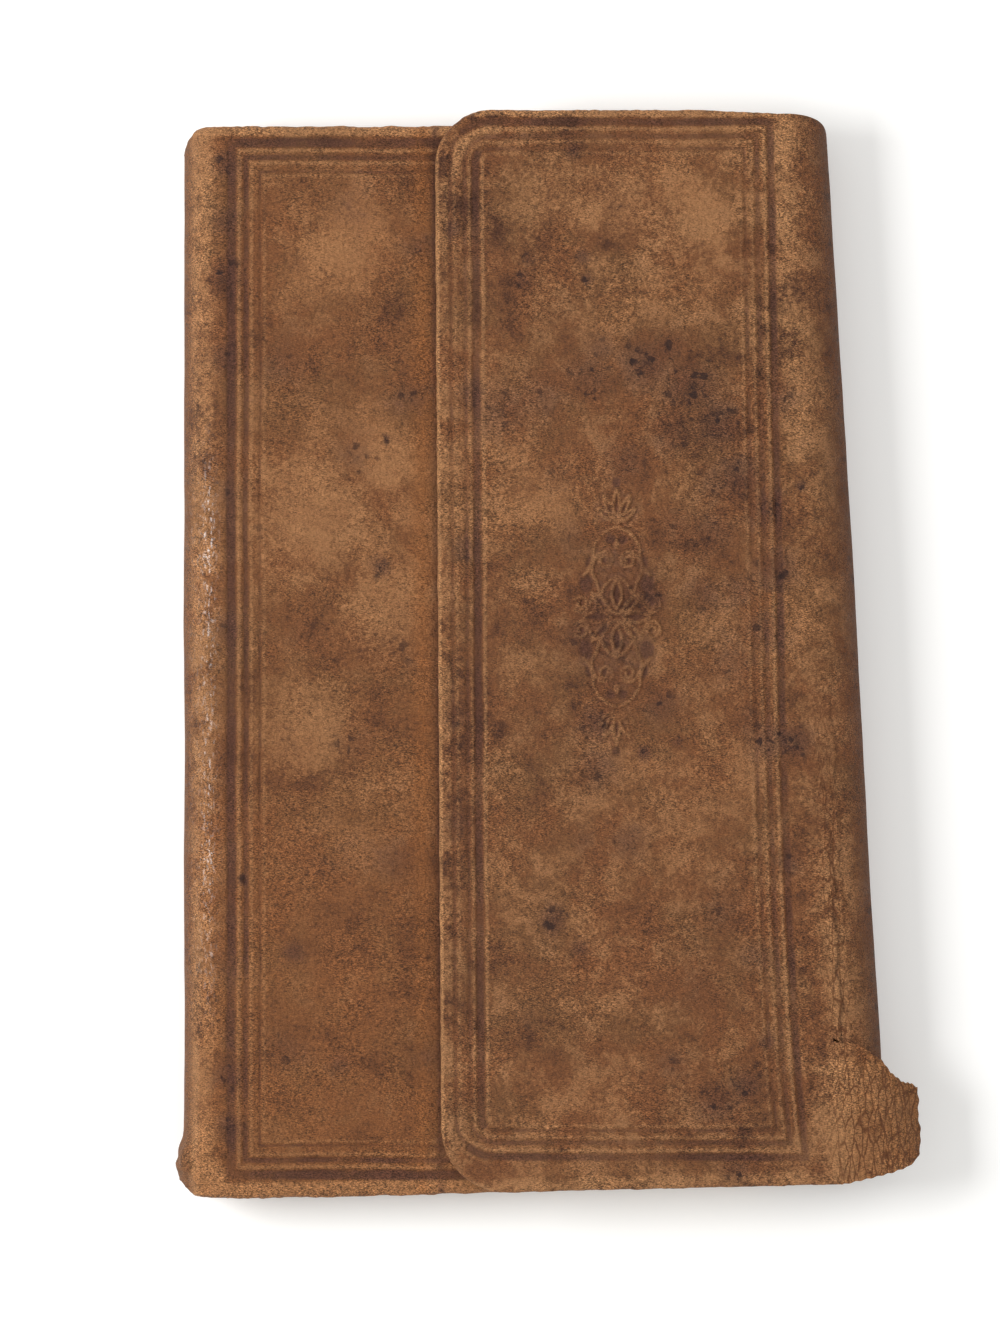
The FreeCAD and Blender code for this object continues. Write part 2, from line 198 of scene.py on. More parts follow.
def inside_frame(x, y, edge):
    """How far each point lies inside a frame's outer line, and whether the spine side is nearest."""
    toward_tail = (edge["top"] - y) / (edge["top"] - edge["bottom"])
    left = x - edge["left"] - (FREE_EDGE_LEAN * toward_tail if edge["corner"] else 0.0)
    right = frame_side(y, edge) - x
    top = edge["top"] - y
    bottom = y - edge["bottom"]
    distance = np.minimum(np.minimum(left, right), np.minimum(top, bottom))
    radius = edge["corner"]
    for end in (top, bottom):
        near = (left < radius) & (end < radius)
        rounded = radius - np.hypot(radius - left, radius - end)
        distance = np.where(near, rounded, distance)
    return distance, left < np.minimum(right, np.minimum(top, bottom))


def frame_lines(x, y, edge, lines, left_lines):
    """Depth of the tooled lines, 0 to 1, and the height of the ridges that they throw up beside them."""
    distance, at_left = inside_frame(x, y, edge)
    places = flat_points(x, y)
    distance = distance + 0.09 * noise_at(places, 1.6, 3) + 0.12 * noise_at(places, 14.0, 4)
    worn_off = 0.8 + 0.5 * noise_at(places, 6.0, 6)
    depth = np.zeros_like(x)
    ridge = np.zeros_like(x)
    for usual, left in zip(lines, left_lines):
        inset, width, strength = (np.where(at_left, l, u) for u, l in zip(usual, left))
        inward = distance - inset
        depth = np.maximum(depth, worn_off * strength * (1 - step(width * 0.3, width * 0.75, np.abs(inward))))
        ridge = np.maximum(ridge, strength * bell(inward, width * 0.5 + 0.45, 0.36))
    return depth, ridge * (1 - depth)


def front_tooling(x, y):
    return frame_lines(x, y, FRONT_FRAME, FRONT_LINES, FRONT_LINES)


def flap_tooling(x, y):
    return frame_lines(x, y, FLAP_FRAME, FLAP_LINES, FREE_EDGE_LINES)


ORNAMENT_MIDDLE = (19.9, 6.85)


def spiral(cx, cy, radius, start, turns):
    """A scroll that winds in from its outer end, in degrees from +X."""
    count = round(abs(turns) * 20)
    points = []
    for i in range(count + 1):
        angle = math.radians(start) + turns * 2 * math.pi * i / count
        r = radius * (1 - 0.72 * i / count)
        points.append((cx + r * math.cos(angle), cy + r * math.sin(angle)))
    return points


def bow(start, end, bulge):
    """A curved stroke between two points, bulging to its left."""
    points = []
    dx, dy = end[0] - start[0], end[1] - start[1]
    for i in range(11):
        t = i / 10
        push = bulge * 4 * t * (1 - t)
        points.append((start[0] + dx * t - dy * push, start[1] + dy * t + dx * push))
    return points


def leaf(base, angle, length, width):
    """The two sides of a pointed leaf."""
    a = math.radians(angle)
    tip = (base[0] + length * math.cos(a), base[1] + length * math.sin(a))
    return [bow(base, tip, width), bow(base, tip, -width)]


def centrepiece():
    """A quarter of the centrepiece: its raised strokes, and its dark fields as (x, y, radius across, up)."""
    strokes = [
        spiral(1.75, 8.45, 1.35, 60, 1.4),
        bow((0.15, 0.5), (3.0, 5.2), -0.1),
        bow((3.0, 5.2), (2.45, 9.6), -0.22),
        bow((0.0, 6.1), (2.25, 3.7), 0.1),
        spiral(5.35, 2.0, 1.4, 250, 1.4),
        bow((3.7, 3.6), (4.85, 0.75), -0.1),
        bow((0.0, 13.5), (3.5, 10.1), 0.14),
        bow((3.5, 10.1), (5.0, 6.2), -0.12),
        spiral(0.0, 10.75, 0.6, 90, 1.0),
        bow((0.1, 14.2), (0.9, 15.3), 0.2),
    ]
    leaves = [
        ((0.0, 1.2), 90, 4.4, 0.17), ((0.9, 0.0), 0, 4.1, 0.2), ((0.8, 0.7), 44, 4.0, 0.13),
        ((0.0, 14.3), 90, 4.8, 0.1), ((0.1, 14.3), 64, 4.2, 0.11), ((0.2, 14.2), 38, 3.2, 0.13),
    ]
    for one in leaves:
        strokes += leaf(*one)
    fields = [
        (0.0, 3.2, 0.7, 2.0), (3.0, 0.0, 1.7, 0.6), (2.3, 2.2, 0.9, 0.8), (1.75, 8.45, 0.5, 0.5),
        (5.35, 2.0, 0.45, 0.45), (0.0, 10.7, 0.3, 0.3), (0.0, 20.2, 0.7, 0.9), (0.0, 16.7, 0.5, 1.7),
        (1.5, 15.9, 0.8, 1.2), (0.9, 11.6, 0.9, 0.8), (4.6, 5.0, 1.2, 1.7), (3.9, 8.0, 0.9, 1.4),
    ]
    return strokes, fields


def ornament(x, y):
    """Height of the centrepiece's raised strokes and the depth of the pressed ground round them."""
    px = np.abs(x - ORNAMENT_MIDDLE[0])
    py = np.abs(y - ORNAMENT_MIDDLE[1])
    strokes, fields = centrepiece()
    lines = np.full(x.shape, 9.0)
    near = np.flatnonzero((px < 8) & (py < 22))
    qx, qy = px[near], py[near]
    nearest = np.full(len(near), 9.0)
    for stroke in strokes:
        for (ax, ay), (bx, by) in zip(stroke, stroke[1:]):
            dx, dy = bx - ax, by - ay
            t = np.clip(((qx - ax) * dx + (qy - ay) * dy) / (dx * dx + dy * dy), 0, 1)
            nearest = np.minimum(nearest, np.hypot(qx - ax - t * dx, qy - ay - t * dy))
    lines[near] = nearest
    places = flat_points(x, y)
    lines = lines + 0.1 * noise_at(places, 0.8, 12)
    kept = 0.85 + 0.6 * noise_at(places, 4.0, 11)
    raised = np.clip(kept, 0.35, 1) * (1 - step(0.12, 0.42, lines))
    ground = 0.55 * (1 - step(0.4, 1.3, lines))
    for cx, cy, across, up in fields:
        ground = np.maximum(ground, 1 - step(0.6, 1.25, np.hypot((px - cx) / across, (py - cy) / up)))
    return raised, ground * (1 - raised)


# Sizes of the leather, in millimetres

TURNED = 0.3  # pared leather of the turn-ins
UNDER_LAP = 0.05  # keeps the turned loops from meeting along the fold line
SIDE_LEFT_OPEN = 1.5  # how much of a turned edge's loop no strip starts from, at each side
TOOL_DEPTH = 0.28
CRACK_WIDTH = 0.2
CRACK_DEPTH = 0.2

# The covers and the spine
RIM_RADIUS = 1.0
CASE_TURN_IN = 10.0
CORNER = 3.0
SPINE_CORNER = 3.4
SPINE_SWELL = 0.42
HEAD_SWELL = 0.6
TAIL_TAPER = 2.5
TAIL_BULGE = 1.1
HEADCAP = 1.9
SWING_START = 40.0  # from here the back cover's columns swing round to the slanting fold
SPINE_LENGTH = math.pi * SPINE_RADIUS
FRONT_LENGTH = FORE_X - SPINE_X
BACK_START = FRONT_LENGTH + SPINE_LENGTH
CASE_LENGTH = BACK_START + ROLL_MIDDLE.x - SPINE_X
COVER_THICKNESS = FRONT_BOARD_HIGH.z - FRONT_BOARD_LOW.z + LEATHER + TURNED
BOARD_END = BACK_START + BOARD_HIGH.x - SPINE_X

# The flap
FLAP_RIM = 0.6
FLAP_TURN_IN = LEATHER + 7.0
FLAP_THICKNESS = FLAP_TOP - CARD_LOW.z + TURNED
FLAP_CORNER_HEAD = 8.5
FLAP_CORNER_TAIL = 10.0
AT_LINE = FLAP_FRAME["right"] - FLAP_FREE
FLAP_LENGTH = AT_LINE + 3.7
TAIL_RISE = 1.5
HEAD_FALL = 0.6

# The roll, its tear and the torn ear. The curves are (distance round the roll, place along the book).
ROLL_SWELL = 0.3
ROLL_DIP = 4.3
TEAR_GAP = 0.35
TEAR = [(0.0, -56.7), (6.8, -60.4), (10.8, -63.8), (13.0, -64.9), (16.5, -65.8), (19.0, -72.0), (20.5, -78.6)]
EAR_HEAD = [
    (0.0, -56.9), (1.9, -57.0), (4.2, -57.6), (5.7, -59.0), (7.4, -60.2), (8.7, -62.1), (10.7, -63.7),
    (12.4, -64.0), (13.3, -64.7),
]
EAR_TAIL = [
    (0.0, -78.35), (3.5, -77.8), (7.9, -77.1), (10.8, -76.4), (12.0, -75.7), (13.0, -74.7), (13.4, -73.6),
]
EAR_CURL = 20.0
EAR_REACH = 13.4
PAPER_FINISH = 1  # the second of the roll's finishes


# The surfaces of the leather

def free_edge_x(y):
    """Where the flap's free edge runs. It leans a little."""
    return FLAP_FREE + FREE_EDGE_LEAN * (FLAP_HEAD - y) / (FLAP_HEAD - FLAP_TAIL)


def along_curve(curve, around):
    """The value of a listed curve at a distance round the roll."""
    places, values = zip(*curve)
    return np.interp(around, places, values)


def creases(across, y):
    """Wavy creases that run along the book, about 1.2 mm apart, from 0 between them to 1 in them."""
    wander = 0.5 * np.sin(y / 2.3 + 0.9 * np.sin(across / 2.2)) + 0.35 * np.sin(y / 0.9 + across * 1.7)
    wander += 0.3 * np.sin(y / 5.1 - across * 0.8)
    gap = 0.65 + 0.35 * np.sin(y / 1.7 + across * 2.9)
    return (1 - np.abs(np.sin(np.pi * (across / 1.25 + 0.5 + 0.4 * wander)))) ** 1.5 * gap


def crack(across, y):
    """The long crack just outside the fold, near the tail, and a shorter one nearer the head."""
    line = 1.55 + 0.28 * np.sin(y / 1.4) + 0.14 * np.sin(y / 0.55 + 1)
    deep = step(-20.0, -36.0, y) * step(-58.5, -56.5, y)
    second = 2.9 + 0.3 * np.sin(y / 1.9 + 2) + 0.12 * np.sin(y / 0.6)
    faint = 0.6 * step(8.0, -8.0, y) * step(-44.0, -36.0, y)
    return np.maximum(deep * bell(across, line, CRACK_WIDTH), faint * bell(across, second, CRACK_WIDTH))


def crease_strength(x, y):
    """Where the leather is creased: at the torn end, and along the fold towards the tail."""
    outside = local_across(x, y)
    torn = step(-55.0, -64.0, y) * step(-4.0, 2.0, outside)
    fold = step(12.0, -30.0, y) * bell(outside, 1.2, 1.7)
    return np.maximum(torn, fold)


def crease_depth(across, x, y):
    """How deep the creases are, in millimetres."""
    return 0.16 * creases(across, y) * crease_strength(x, y)


def dent_and_swell(x, y, z):
    """Slow unevenness of the whole skin, in millimetres."""
    points = np.stack([x, y, z], 1)
    return 0.14 * noise_at(points, 21.0, 1) + 0.05 * noise_at(points, 5.5, 2)


def on_top(x, y, nominal, tooling):
    """How far the top of a tooled cover stands above its plain level."""
    depth, ridge = tooling(x, y)
    return dent_and_swell(x, y, np.full_like(x, nominal)) + TOOL_DEPTH * (0.3 * ridge - depth)


def round_corner(p, q, radius):
    """Bends a square corner round. p and q are the distances from its two sides."""
    u = radius - p
    v = radius - q
    reach = np.maximum(u, v)
    inside = (u > 0) & (v > 0)
    safe = np.where(reach > 1e-9, reach, 1.0)
    share = np.minimum(u, v) / safe
    small = math.pi / 4 * share
    angle = np.where(u >= v, small, math.pi / 2 - small)
    p = np.where(inside, radius - reach * np.cos(angle), p)
    q = np.where(inside, radius - reach * np.sin(angle), q)
    return p, q


class Sheet:
    """A skin that grows from a grid: its face first, then its turned edge, then what closes it."""

    def __init__(self, columns, rows, place):
        self.bm = bmesh.new()
        self.place = place
        bmesh.ops.create_grid(self.bm, x_segments=len(columns) - 1, y_segments=len(rows) - 1, size=1)
        self.a = self.bm.verts.layers.float.new("across")
        self.b = self.bm.verts.layers.float.new("along")
        for v in self.bm.verts:
            v[self.a] = columns[round((v.co.x + 1) / 2 * (len(columns) - 1))]
            v[self.b] = rows[round((v.co.y + 1) / 2 * (len(rows) - 1))]

    def settle(self, verts, *state):
        """Puts vertices where the sheet's surface is, at a given inset and depth."""
        a = np.array([v[self.a] for v in verts])
        b = np.array([v[self.b] for v in verts])
        for v, p in zip(verts, self.place(a, b, *state)):
            v.co = Vector(p) * MM

    def turn_edge(self, states):
        """Carries the open edge on, one loop for each (inset, depth)."""
        loop = [e for e in self.bm.edges if e.is_boundary]
        for state in states:
            made = bmesh.ops.extrude_edge_only(self.bm, edges=loop)["geom"]
            loop = [g for g in made if isinstance(g, bmesh.types.BMEdge) and g.is_boundary]
            self.settle(list({v for e in loop for v in e.verts}), *state)
        return loop

    def close_between_ends(self, loop, cuts, *state):
        """Closes the inside with strips from the tail to the head, cut across, and a face at each side."""
        verts = {v for e in loop for v in e.verts}
        first = min(v[self.a] for v in verts) + SIDE_LEFT_OPEN
        last = max(v[self.a] for v in verts) - SIDE_LEFT_OPEN
        low, high = min(v[self.b] for v in verts), max(v[self.b] for v in verts)
        middle = [e for e in loop if all(first < v[self.a] < last for v in e.verts)]
        tail = [e for e in middle if all(v[self.b] == low for v in e.verts)]
        head = [e for e in middle if all(v[self.b] == high for v in e.verts)]
        made = bmesh.ops.bridge_loops(self.bm, edges=tail + head)
        if cuts:
            long_edges = [e for e in made["edges"] if e.calc_length() > 20 * MM]
            split = bmesh.ops.subdivide_edges(self.bm, edges=long_edges, cuts=cuts, use_grid_fill=True)
            self.settle([g for g in split["geom_inner"] if isinstance(g, bmesh.types.BMVert)], *state)
        bmesh.ops.holes_fill(self.bm, edges=self.bm.edges, sides=0)

    def finish(self, name):
        """Turns the faces outwards and makes the object."""
        bmesh.ops.remove_doubles(self.bm, verts=self.bm.verts, dist=0.002 * MM)
        bmesh.ops.dissolve_degenerate(self.bm, edges=self.bm.edges, dist=0.001 * MM)
        bmesh.ops.recalc_face_normals(self.bm, faces=self.bm.faces)
        self.bm.verts.layers.float.remove(self.bm.verts.layers.float["across"])
        self.bm.verts.layers.float.remove(self.bm.verts.layers.float["along"])
        return object_from(self.bm, name)


def object_from(bm, name):
    """A linked object with smooth faces, its place in its mesh."""
    for face in bm.faces:
        face.smooth = True
    mesh = bpy.data.meshes.new(name)
    bm.to_mesh(mesh)
    bm.free()
    obj = bpy.data.objects.new(name, mesh)
    bpy.context.scene.collection.objects.link(obj)
    return obj


def rim(radius, thickness, under, foot=0.3, cuts=6):
    """The (inset, depth) states of a turned edge: round the corner, down, under, and up at the cut edge."""
    states = []
    for i in range(1, cuts + 1):
        angle = math.pi / 2 * i / cuts
        states.append((radius * (1 - math.sin(angle)), radius * (1 - math.cos(angle))))
    for i in range(1, 4):
        states.append((0.0, radius + (thickness - foot - radius) * i / 3))
    for i in range(1, 4):
        angle = math.pi / 2 * i / 3
        states.append((foot * (1 - math.cos(angle)), thickness - foot * (1 - math.sin(angle))))
    states += [(under * share, thickness) for share in (0.2, 0.5, 0.8)]
    states += [(under - 0.15, thickness), (under, thickness - 0.12), (under + 0.05, thickness - TURNED)]
    return states


def fray(points, amount):
    """Uneven worn edges: a small shift in every direction."""
    out = points.copy()
    for axis in range(3):
        out[:, axis] += amount * (noise_at(points, 2.6, 5 + axis) + 0.8 * noise_at(points, 0.9, 9 + axis))
    return out


def tail_taper(x):
    """How much the covers' tail edge draws in from the spine to the fore-edge."""
    return TAIL_TAPER * np.clip((x + 38.0) / 82.0, 0, 1) ** 1.4


def case_place(a, b, inset, depth):
    """The case: front cover from its fore-edge, spine, and back cover as far as the roll."""
    rim_inset = RIM_RADIUS if inset is None else inset
    side = a - RIM_RADIUS
    span = CASE_LENGTH - RIM_RADIUS
    end = CASE_LENGTH - (UNDER_LAP * rim_inset if depth > COVER_THICKNESS - TURNED - 0.01 else 0.0)
    a = rim_inset + side * (end - rim_inset) / span
    half = HALF_HEIGHT + HEAD_SWELL
    b = b * (half - rim_inset) / (HALF_HEIGHT - RIM_RADIUS)
    p, q = round_corner(a, half - np.abs(b), CORNER)
    a, b = p, np.sign(b) * (half - q)
    sheet_only = step(BOARD_END - 0.6, BOARD_END + 0.2, a)
    spine_part = step(FRONT_LENGTH, FRONT_LENGTH + 3, a) * step(BACK_START, BACK_START - 3, a)
    limit = COVER_THICKNESS + (LEATHER - COVER_THICKNESS) * sheet_only
    limit = limit + (HEADCAP - limit) * spine_part
    down = depth * limit / COVER_THICKNESS
    on_front = a < FRONT_LENGTH
    on_spine = (a >= FRONT_LENGTH) & (a < BACK_START)
    angle = math.pi / 2 + (a - FRONT_LENGTH) / SPINE_RADIUS
    past = (a - BACK_START) - (SWING_START - SPINE_X)
    back_x = SPINE_X + a - BACK_START
    reach = fold_x(b) - SWING_START
    stretched = SWING_START + past * reach / (ROLL_MIDDLE.x - SWING_START)
    back_x = np.where(past > 0, stretched, back_x)
    x = np.where(on_front, FORE_X - a, np.where(on_spine, SPINE_X + SPINE_RADIUS * np.cos(angle), back_x))
    z = np.where(on_front, CLOSED, np.where(on_spine, SPINE_RADIUS * (1 + np.sin(angle)), 0.0))
    near_tail = step(-55.0, -80.0, b)
    b = b + tail_taper(x) * near_tail
    corner = np.maximum(SPINE_CORNER - (x - CASE_LOW.x), 0.0)
    fall = SPINE_CORNER - np.sqrt(SPINE_CORNER**2 - np.minimum(corner, SPINE_CORNER) ** 2)
    b = b - np.sign(b) * fall * step(half - 9.0, half, np.abs(b)) * np.where(b > 0, 1.0, 0.55)
    x = x - (SPINE_SWELL + TAIL_BULGE * bell(b, -75.2, 2.6)) * step(SPINE_X, CASE_LOW.x, x)
    nx = np.where(on_spine, np.cos(angle), 0.0)
    nz = np.where(on_front, 1.0, np.where(on_spine, np.sin(angle), -1.0))
    lift = np.zeros_like(x)
    if inset is None:
        front = on_top(x, b, CLOSED, front_tooling)
        plain = dent_and_swell(x, b, z)
        lumpy = step(-70.0, -75.0, b) * step(-38.0, -42.0, x)
        plain += 0.6 * lumpy * noise_at(np.stack([x, b, z], 1), 1.9, 8)
        lift = np.where(on_front, front, np.where(on_spine, plain, np.minimum(plain, 0.0)))
    elif depth < COVER_THICKNESS * 0.9:
        lift = dent_and_swell(x, b, z) * (1 - depth / COVER_THICKNESS)
        lift = np.where(nz < -0.5, np.minimum(lift, 0.0), lift)
    points = np.stack([x + nx * (lift - down), b, z + nz * (lift - down)], 1)
    if depth < COVER_THICKNESS - TURNED and inset is not None:
        points = fray(points, 0.2)
    points[:, 2] = np.maximum(points[:, 2], 0.0)
    return points


def build_case():
    """The skin of the front cover, the spine and the back cover, wrapped round its boards."""
    columns = spaced(
        (RIM_RADIUS, 0.22), (9.0, 1.6), (50.0, 0.8), (75.5, 0.2), (FRONT_LENGTH, 0.42), (BACK_START, 1.6),
        (BACK_START + 76.0, 0.7), (CASE_LENGTH, 1),
    )
    edge = HALF_HEIGHT - RIM_RADIUS
    rows = spaced((-edge, 0.2), (-71.0, 0.85), (72.0, 0.2), (edge, 1))
    sheet = Sheet(columns, rows, case_place)
    sheet.settle(list(sheet.bm.verts), None, 0.0)
    loop = sheet.turn_edge(rim(RIM_RADIUS, COVER_THICKNESS, CASE_TURN_IN))
    sheet.close_between_ends(loop, 0)
    return sheet.finish("case_skin")


def flap_x(a, y):
    """From the distance past the free edge to X: the frame's side leans, and the fold slants."""
    free = free_edge_x(y)
    line = frame_side(y, FLAP_FRAME)
    fold = fold_x(y)
    left = free + a
    middle = free + 8 + (a - 8) * (line - 8 - free - 8) / (AT_LINE - 16)
    right = line + (a - AT_LINE)
    last = line + 0.7 + (a - AT_LINE - 0.7) * (fold - line - 0.7) / (FLAP_LENGTH - AT_LINE - 0.7)
    x = np.where(a < 8, left, np.where(a < AT_LINE - 8, middle, right))
    return np.where(a > AT_LINE + 0.7, last, x)


def round_flap(a, from_middle):
    """Rounds the flap's two free corners, and gives the place along the book."""
    radius = np.where(from_middle > 0, FLAP_CORNER_HEAD, FLAP_CORNER_TAIL)
    a, from_end = round_corner(a, FLAP_HALF - np.abs(from_middle), radius)
    return a, FLAP_MIDDLE + np.sign(from_middle) * (FLAP_HALF - from_end)


def flap_place(a, b, inset, depth):
    """The flap: from its free edge to the roll, its head and tail turned in."""
    rim_inset = FLAP_RIM if inset is None else inset
    end = FLAP_LENGTH - (UNDER_LAP * rim_inset if depth > FLAP_THICKNESS - TURNED - 0.01 else 0.0)
    a = rim_inset + (a - FLAP_RIM) * (end - rim_inset) / (FLAP_LENGTH - FLAP_RIM)
    a, y = round_flap(a, b * (FLAP_HALF - rim_inset) / (FLAP_HALF - FLAP_RIM))
    share = np.clip(a / FLAP_LENGTH, 0, 1)
    y = y + TAIL_RISE * share * step(FLAP_TAIL + 5, FLAP_TAIL, y)
    y = y - HEAD_FALL * step(38, FLAP_LENGTH, a) * step(FLAP_HEAD - 5, FLAP_HEAD, y)
    x = flap_x(a, y)
    bare = step(CARD_END - 0.4, CARD_END + 0.4, x)
    limit = FLAP_THICKNESS + (LEATHER - FLAP_THICKNESS) * bare
    down = depth * limit / FLAP_THICKNESS
    lift = np.zeros_like(x)
    if inset is None:
        lift = on_top(x, y, FLAP_TOP, flap_tooling)
        raised, ground = ornament(x, y)
        lift += 0.2 * raised - 0.16 * ground
        lift -= crease_depth(local_across(x, y), x, y)
    elif depth < FLAP_THICKNESS * 0.9:
        lift = dent_and_swell(x, y, np.full_like(x, FLAP_TOP)) * (1 - depth / FLAP_THICKNESS)
    points = np.stack([x, y, FLAP_TOP - down + lift], 1)
    if depth < FLAP_THICKNESS - TURNED and inset is not None:
        frayed = fray(points, 0.13)
        points = np.where((a < FLAP_LENGTH - 1.5)[:, None], frayed, points)
    return points


def build_flap():
    """The tooled flap: leather over card, with its turn-ins."""
    pad = ORNAMENT_MIDDLE[0] - FLAP_FREE
    knot = ORNAMENT_MIDDLE[1] - FLAP_MIDDLE
    half = FLAP_HALF - FLAP_RIM
    columns = spaced(
        (FLAP_RIM, 0.22), (8.0, 0.8), (pad - 7.0, 0.2), (pad + 6.0, 0.8), (AT_LINE - 5.6, 0.22),
        (AT_LINE + 0.7, 0.3), (FLAP_LENGTH, 1),
    )
    rows = spaced(
        (-half, 0.24), (10.5 - half, 0.8), (knot - 20.5, 0.23), (knot + 20.5, 0.8), (half - 7.5, 0.22),
        (half, 1),
    )
    sheet = Sheet(columns, rows, flap_place)
    sheet.settle(list(sheet.bm.verts), None, 0.0)
    for edge in sheet.bm.edges:
        edge.smooth = any(v[sheet.a] < FLAP_LENGTH - 0.001 for v in edge.verts)
    loop = sheet.turn_edge(rim(FLAP_RIM, FLAP_THICKNESS, FLAP_TURN_IN, foot=0.25))
    sheet.close_between_ends(loop, 15, FLAP_TURN_IN + 0.05, FLAP_THICKNESS - TURNED)
    return sheet.finish("flap_skin")


def shell(columns, rows, place, name, inner_finish=0):
    """A sheet with a real thickness: an outer face, an inner face and the cut edge between them."""
    sheet = Sheet(columns, rows, place)
    sheet.settle(list(sheet.bm.verts), 0.0)
    for edge in sheet.bm.edges:
        edge.smooth = not edge.is_boundary
    outer = list(sheet.bm.faces)
    made = bmesh.ops.extrude_face_region(sheet.bm, geom=outer + list(sheet.bm.verts) + list(sheet.bm.edges))
    inner = [g for g in made["geom"] if isinstance(g, bmesh.types.BMVert)]
    sheet.settle(inner, 1.0)
    for face in made["geom"]:
        if isinstance(face, bmesh.types.BMFace):
            face.material_index = inner_finish
    return sheet.finish(name)


def roll_place(angle, share, depth):
    """The roll's surface: an angle from the roll's middle height, and a share of its length."""
    a = np.radians(angle)
    around = np.radians(90.0 - angle) * ROLL_RADIUS
    rise = np.maximum(np.sin(a), 0.0) ** 0.55
    low = FLAP_HEAD - HEAD_FALL - ROLL_DIP
    head = np.where(angle > 0, low + ROLL_DIP * rise, low + (HALF_HEIGHT - low) * (-np.sin(a)))
    tail = along_curve(TEAR, around) + TEAR_GAP
    ragged = np.sin(around * 2.1) * 0.25 + np.sin(around * 5.3 + 1) * 0.15
    tail = np.maximum(tail + ragged * step(0.5, 2.0, around), TEAR[-1][1])
    y = tail + (head - tail) * share
    x = fold_x(y)
    swell = dent_and_swell(x + ROLL_RADIUS * np.cos(a), y, ROLL_RADIUS + ROLL_RADIUS * np.sin(a))
    swell -= crease_depth(around, x + around, y) + CRACK_DEPTH * crack(around, y)
    swell = np.where(angle < -80, np.minimum(swell, 0.0), swell)
    fuller = ROLL_SWELL * (0.7 + bell(y, 25.0, 32.0)) * np.cos(a)
    radius = ROLL_RADIUS + swell + fuller - (LEATHER + PAPER) * depth
    px, py = beside_fold(y, radius * np.cos(a))
    return np.stack([px, py, np.maximum(ROLL_RADIUS + radius * np.sin(a), 0.0)], 1)


def build_roll():
    """The two halves of the roll. They meet in the middle of the wall and each bends at one fold."""
    rows = spaced((0.0, 0.003), (0.12, 0.005), (0.94, 0.0025), (1.0, 1))
    lower = shell(spaced((-90.0, 2.0), (0.0, 1)), rows, roll_place, "roll_lower", PAPER_FINISH)
    upper = shell(spaced((0.0, 1.8), (90.0, 1)), rows, roll_place, "roll_upper", PAPER_FINISH)
    return lower, upper


def ear_place(around, share, depth):
    """The torn end: it leaves the fold level and curls down in a wide bend."""
    turn = around / EAR_CURL
    head = along_curve(EAR_HEAD, around) + 0.1 * np.sin(around * 7.1)
    tail = along_curve(EAR_TAIL, around) + 0.08 * np.sin(around * 3.7)
    y = tail + (head - tail) * share
    ragged = 0.1 * np.sin(y * 1.3) + 0.08 * np.sin(y * 3.1 + 1)
    reach = EAR_CURL * np.sin(turn) + ragged * step(10.0, EAR_REACH, around)
    lift = dent_and_swell(fold_x(y) + reach, y, np.full_like(y, FLAP_TOP))
    lift -= crease_depth(around, fold_x(y) + around, y)
    lift += 0.35 * np.sin(y / 2.9 + around / 5) * step(4.0, 12.0, around)
    lift += 0.5 * step(0.0, 3.5, around) * np.exp(-(head - y) / 2.5)
    drop = EAR_CURL * (1 - np.cos(turn))
    px, py = beside_fold(y, reach)
    thick = LEATHER * (1 - 0.45 * step(9.0, EAR_REACH, around))
    return np.stack([px, py, FLAP_TOP - drop + lift - thick * depth], 1)


def build_ear():
    """The torn piece of the roll that stands out beyond the fold."""
    columns = spaced((0.0, 0.17), (EAR_REACH, 1))
    rows = spaced((0.0, 0.0125), (1.0, 1))
    return shell(columns, rows, ear_place, "torn_ear")


# Linings, pages and the parts inside

def flap_lining_place(a, b, depth):
    """Paper over the turn-ins and the card, and on to the fold."""
    inset = np.minimum(a, FLAP_HALF - np.abs(b - FLAP_MIDDLE))
    a, y = round_flap(a, b - FLAP_MIDDLE)
    x = flap_x(a, y)
    over = 1 - step(FLAP_TURN_IN, FLAP_TURN_IN + 0.5, inset)
    level = CARD_LOW.z - TURNED * over
    bare = step(CARD_END - 0.2, CARD_END + 0.7, x)
    level = level + (FLAP_TOP - LEATHER - level) * bare
    points = np.stack([x, y, level], 1)
    points[:, 2] += 0.03 * noise_at(points, 8.0, 4)
    points[:, 2] -= 0.05 + (PAPER - 0.05) * depth
    return points


def build_flap_lining():
    """The paper inside the flap."""
    margin = 2.0
    columns = spaced(
        (margin, 0.3), (9.0, 1.5), (CARD_END - FLAP_FREE - 1, 0.3), (FLAP_LENGTH - 2.5, 0.8), (FLAP_LENGTH, 1)
    )
    tail, head = FLAP_TAIL + margin + 1, FLAP_HEAD - margin
    rows = spaced((tail, 0.4), (FLAP_TAIL + 9.0, 2.0), (FLAP_HEAD - 9.0, 0.4), (head, 1))
    return shell(columns, rows, flap_lining_place, "flap_lining_paper")


def back_lining_place(a, b, depth):
    """The back pastedown, over the board's edge and on to the roll."""
    y = b
    end = BOARD_HIGH.x + PAPER
    drop = BACK_LINING_LOW.z
    over_edge = step(end - 0.15, end + 0.15, a)
    x = np.where(a > end, end + (a - end) * (fold_x(y) - end) / (ROLL_MIDDLE.x - end), a)
    level = BOARD_HIGH.z + TURNED * step(HALF_HEIGHT - 10.3, HALF_HEIGHT - 9.8, np.abs(y))
    z = level + (drop - level) * over_edge
    return np.stack([x, y, z + 0.02 + PAPER * (1 - depth)], 1)


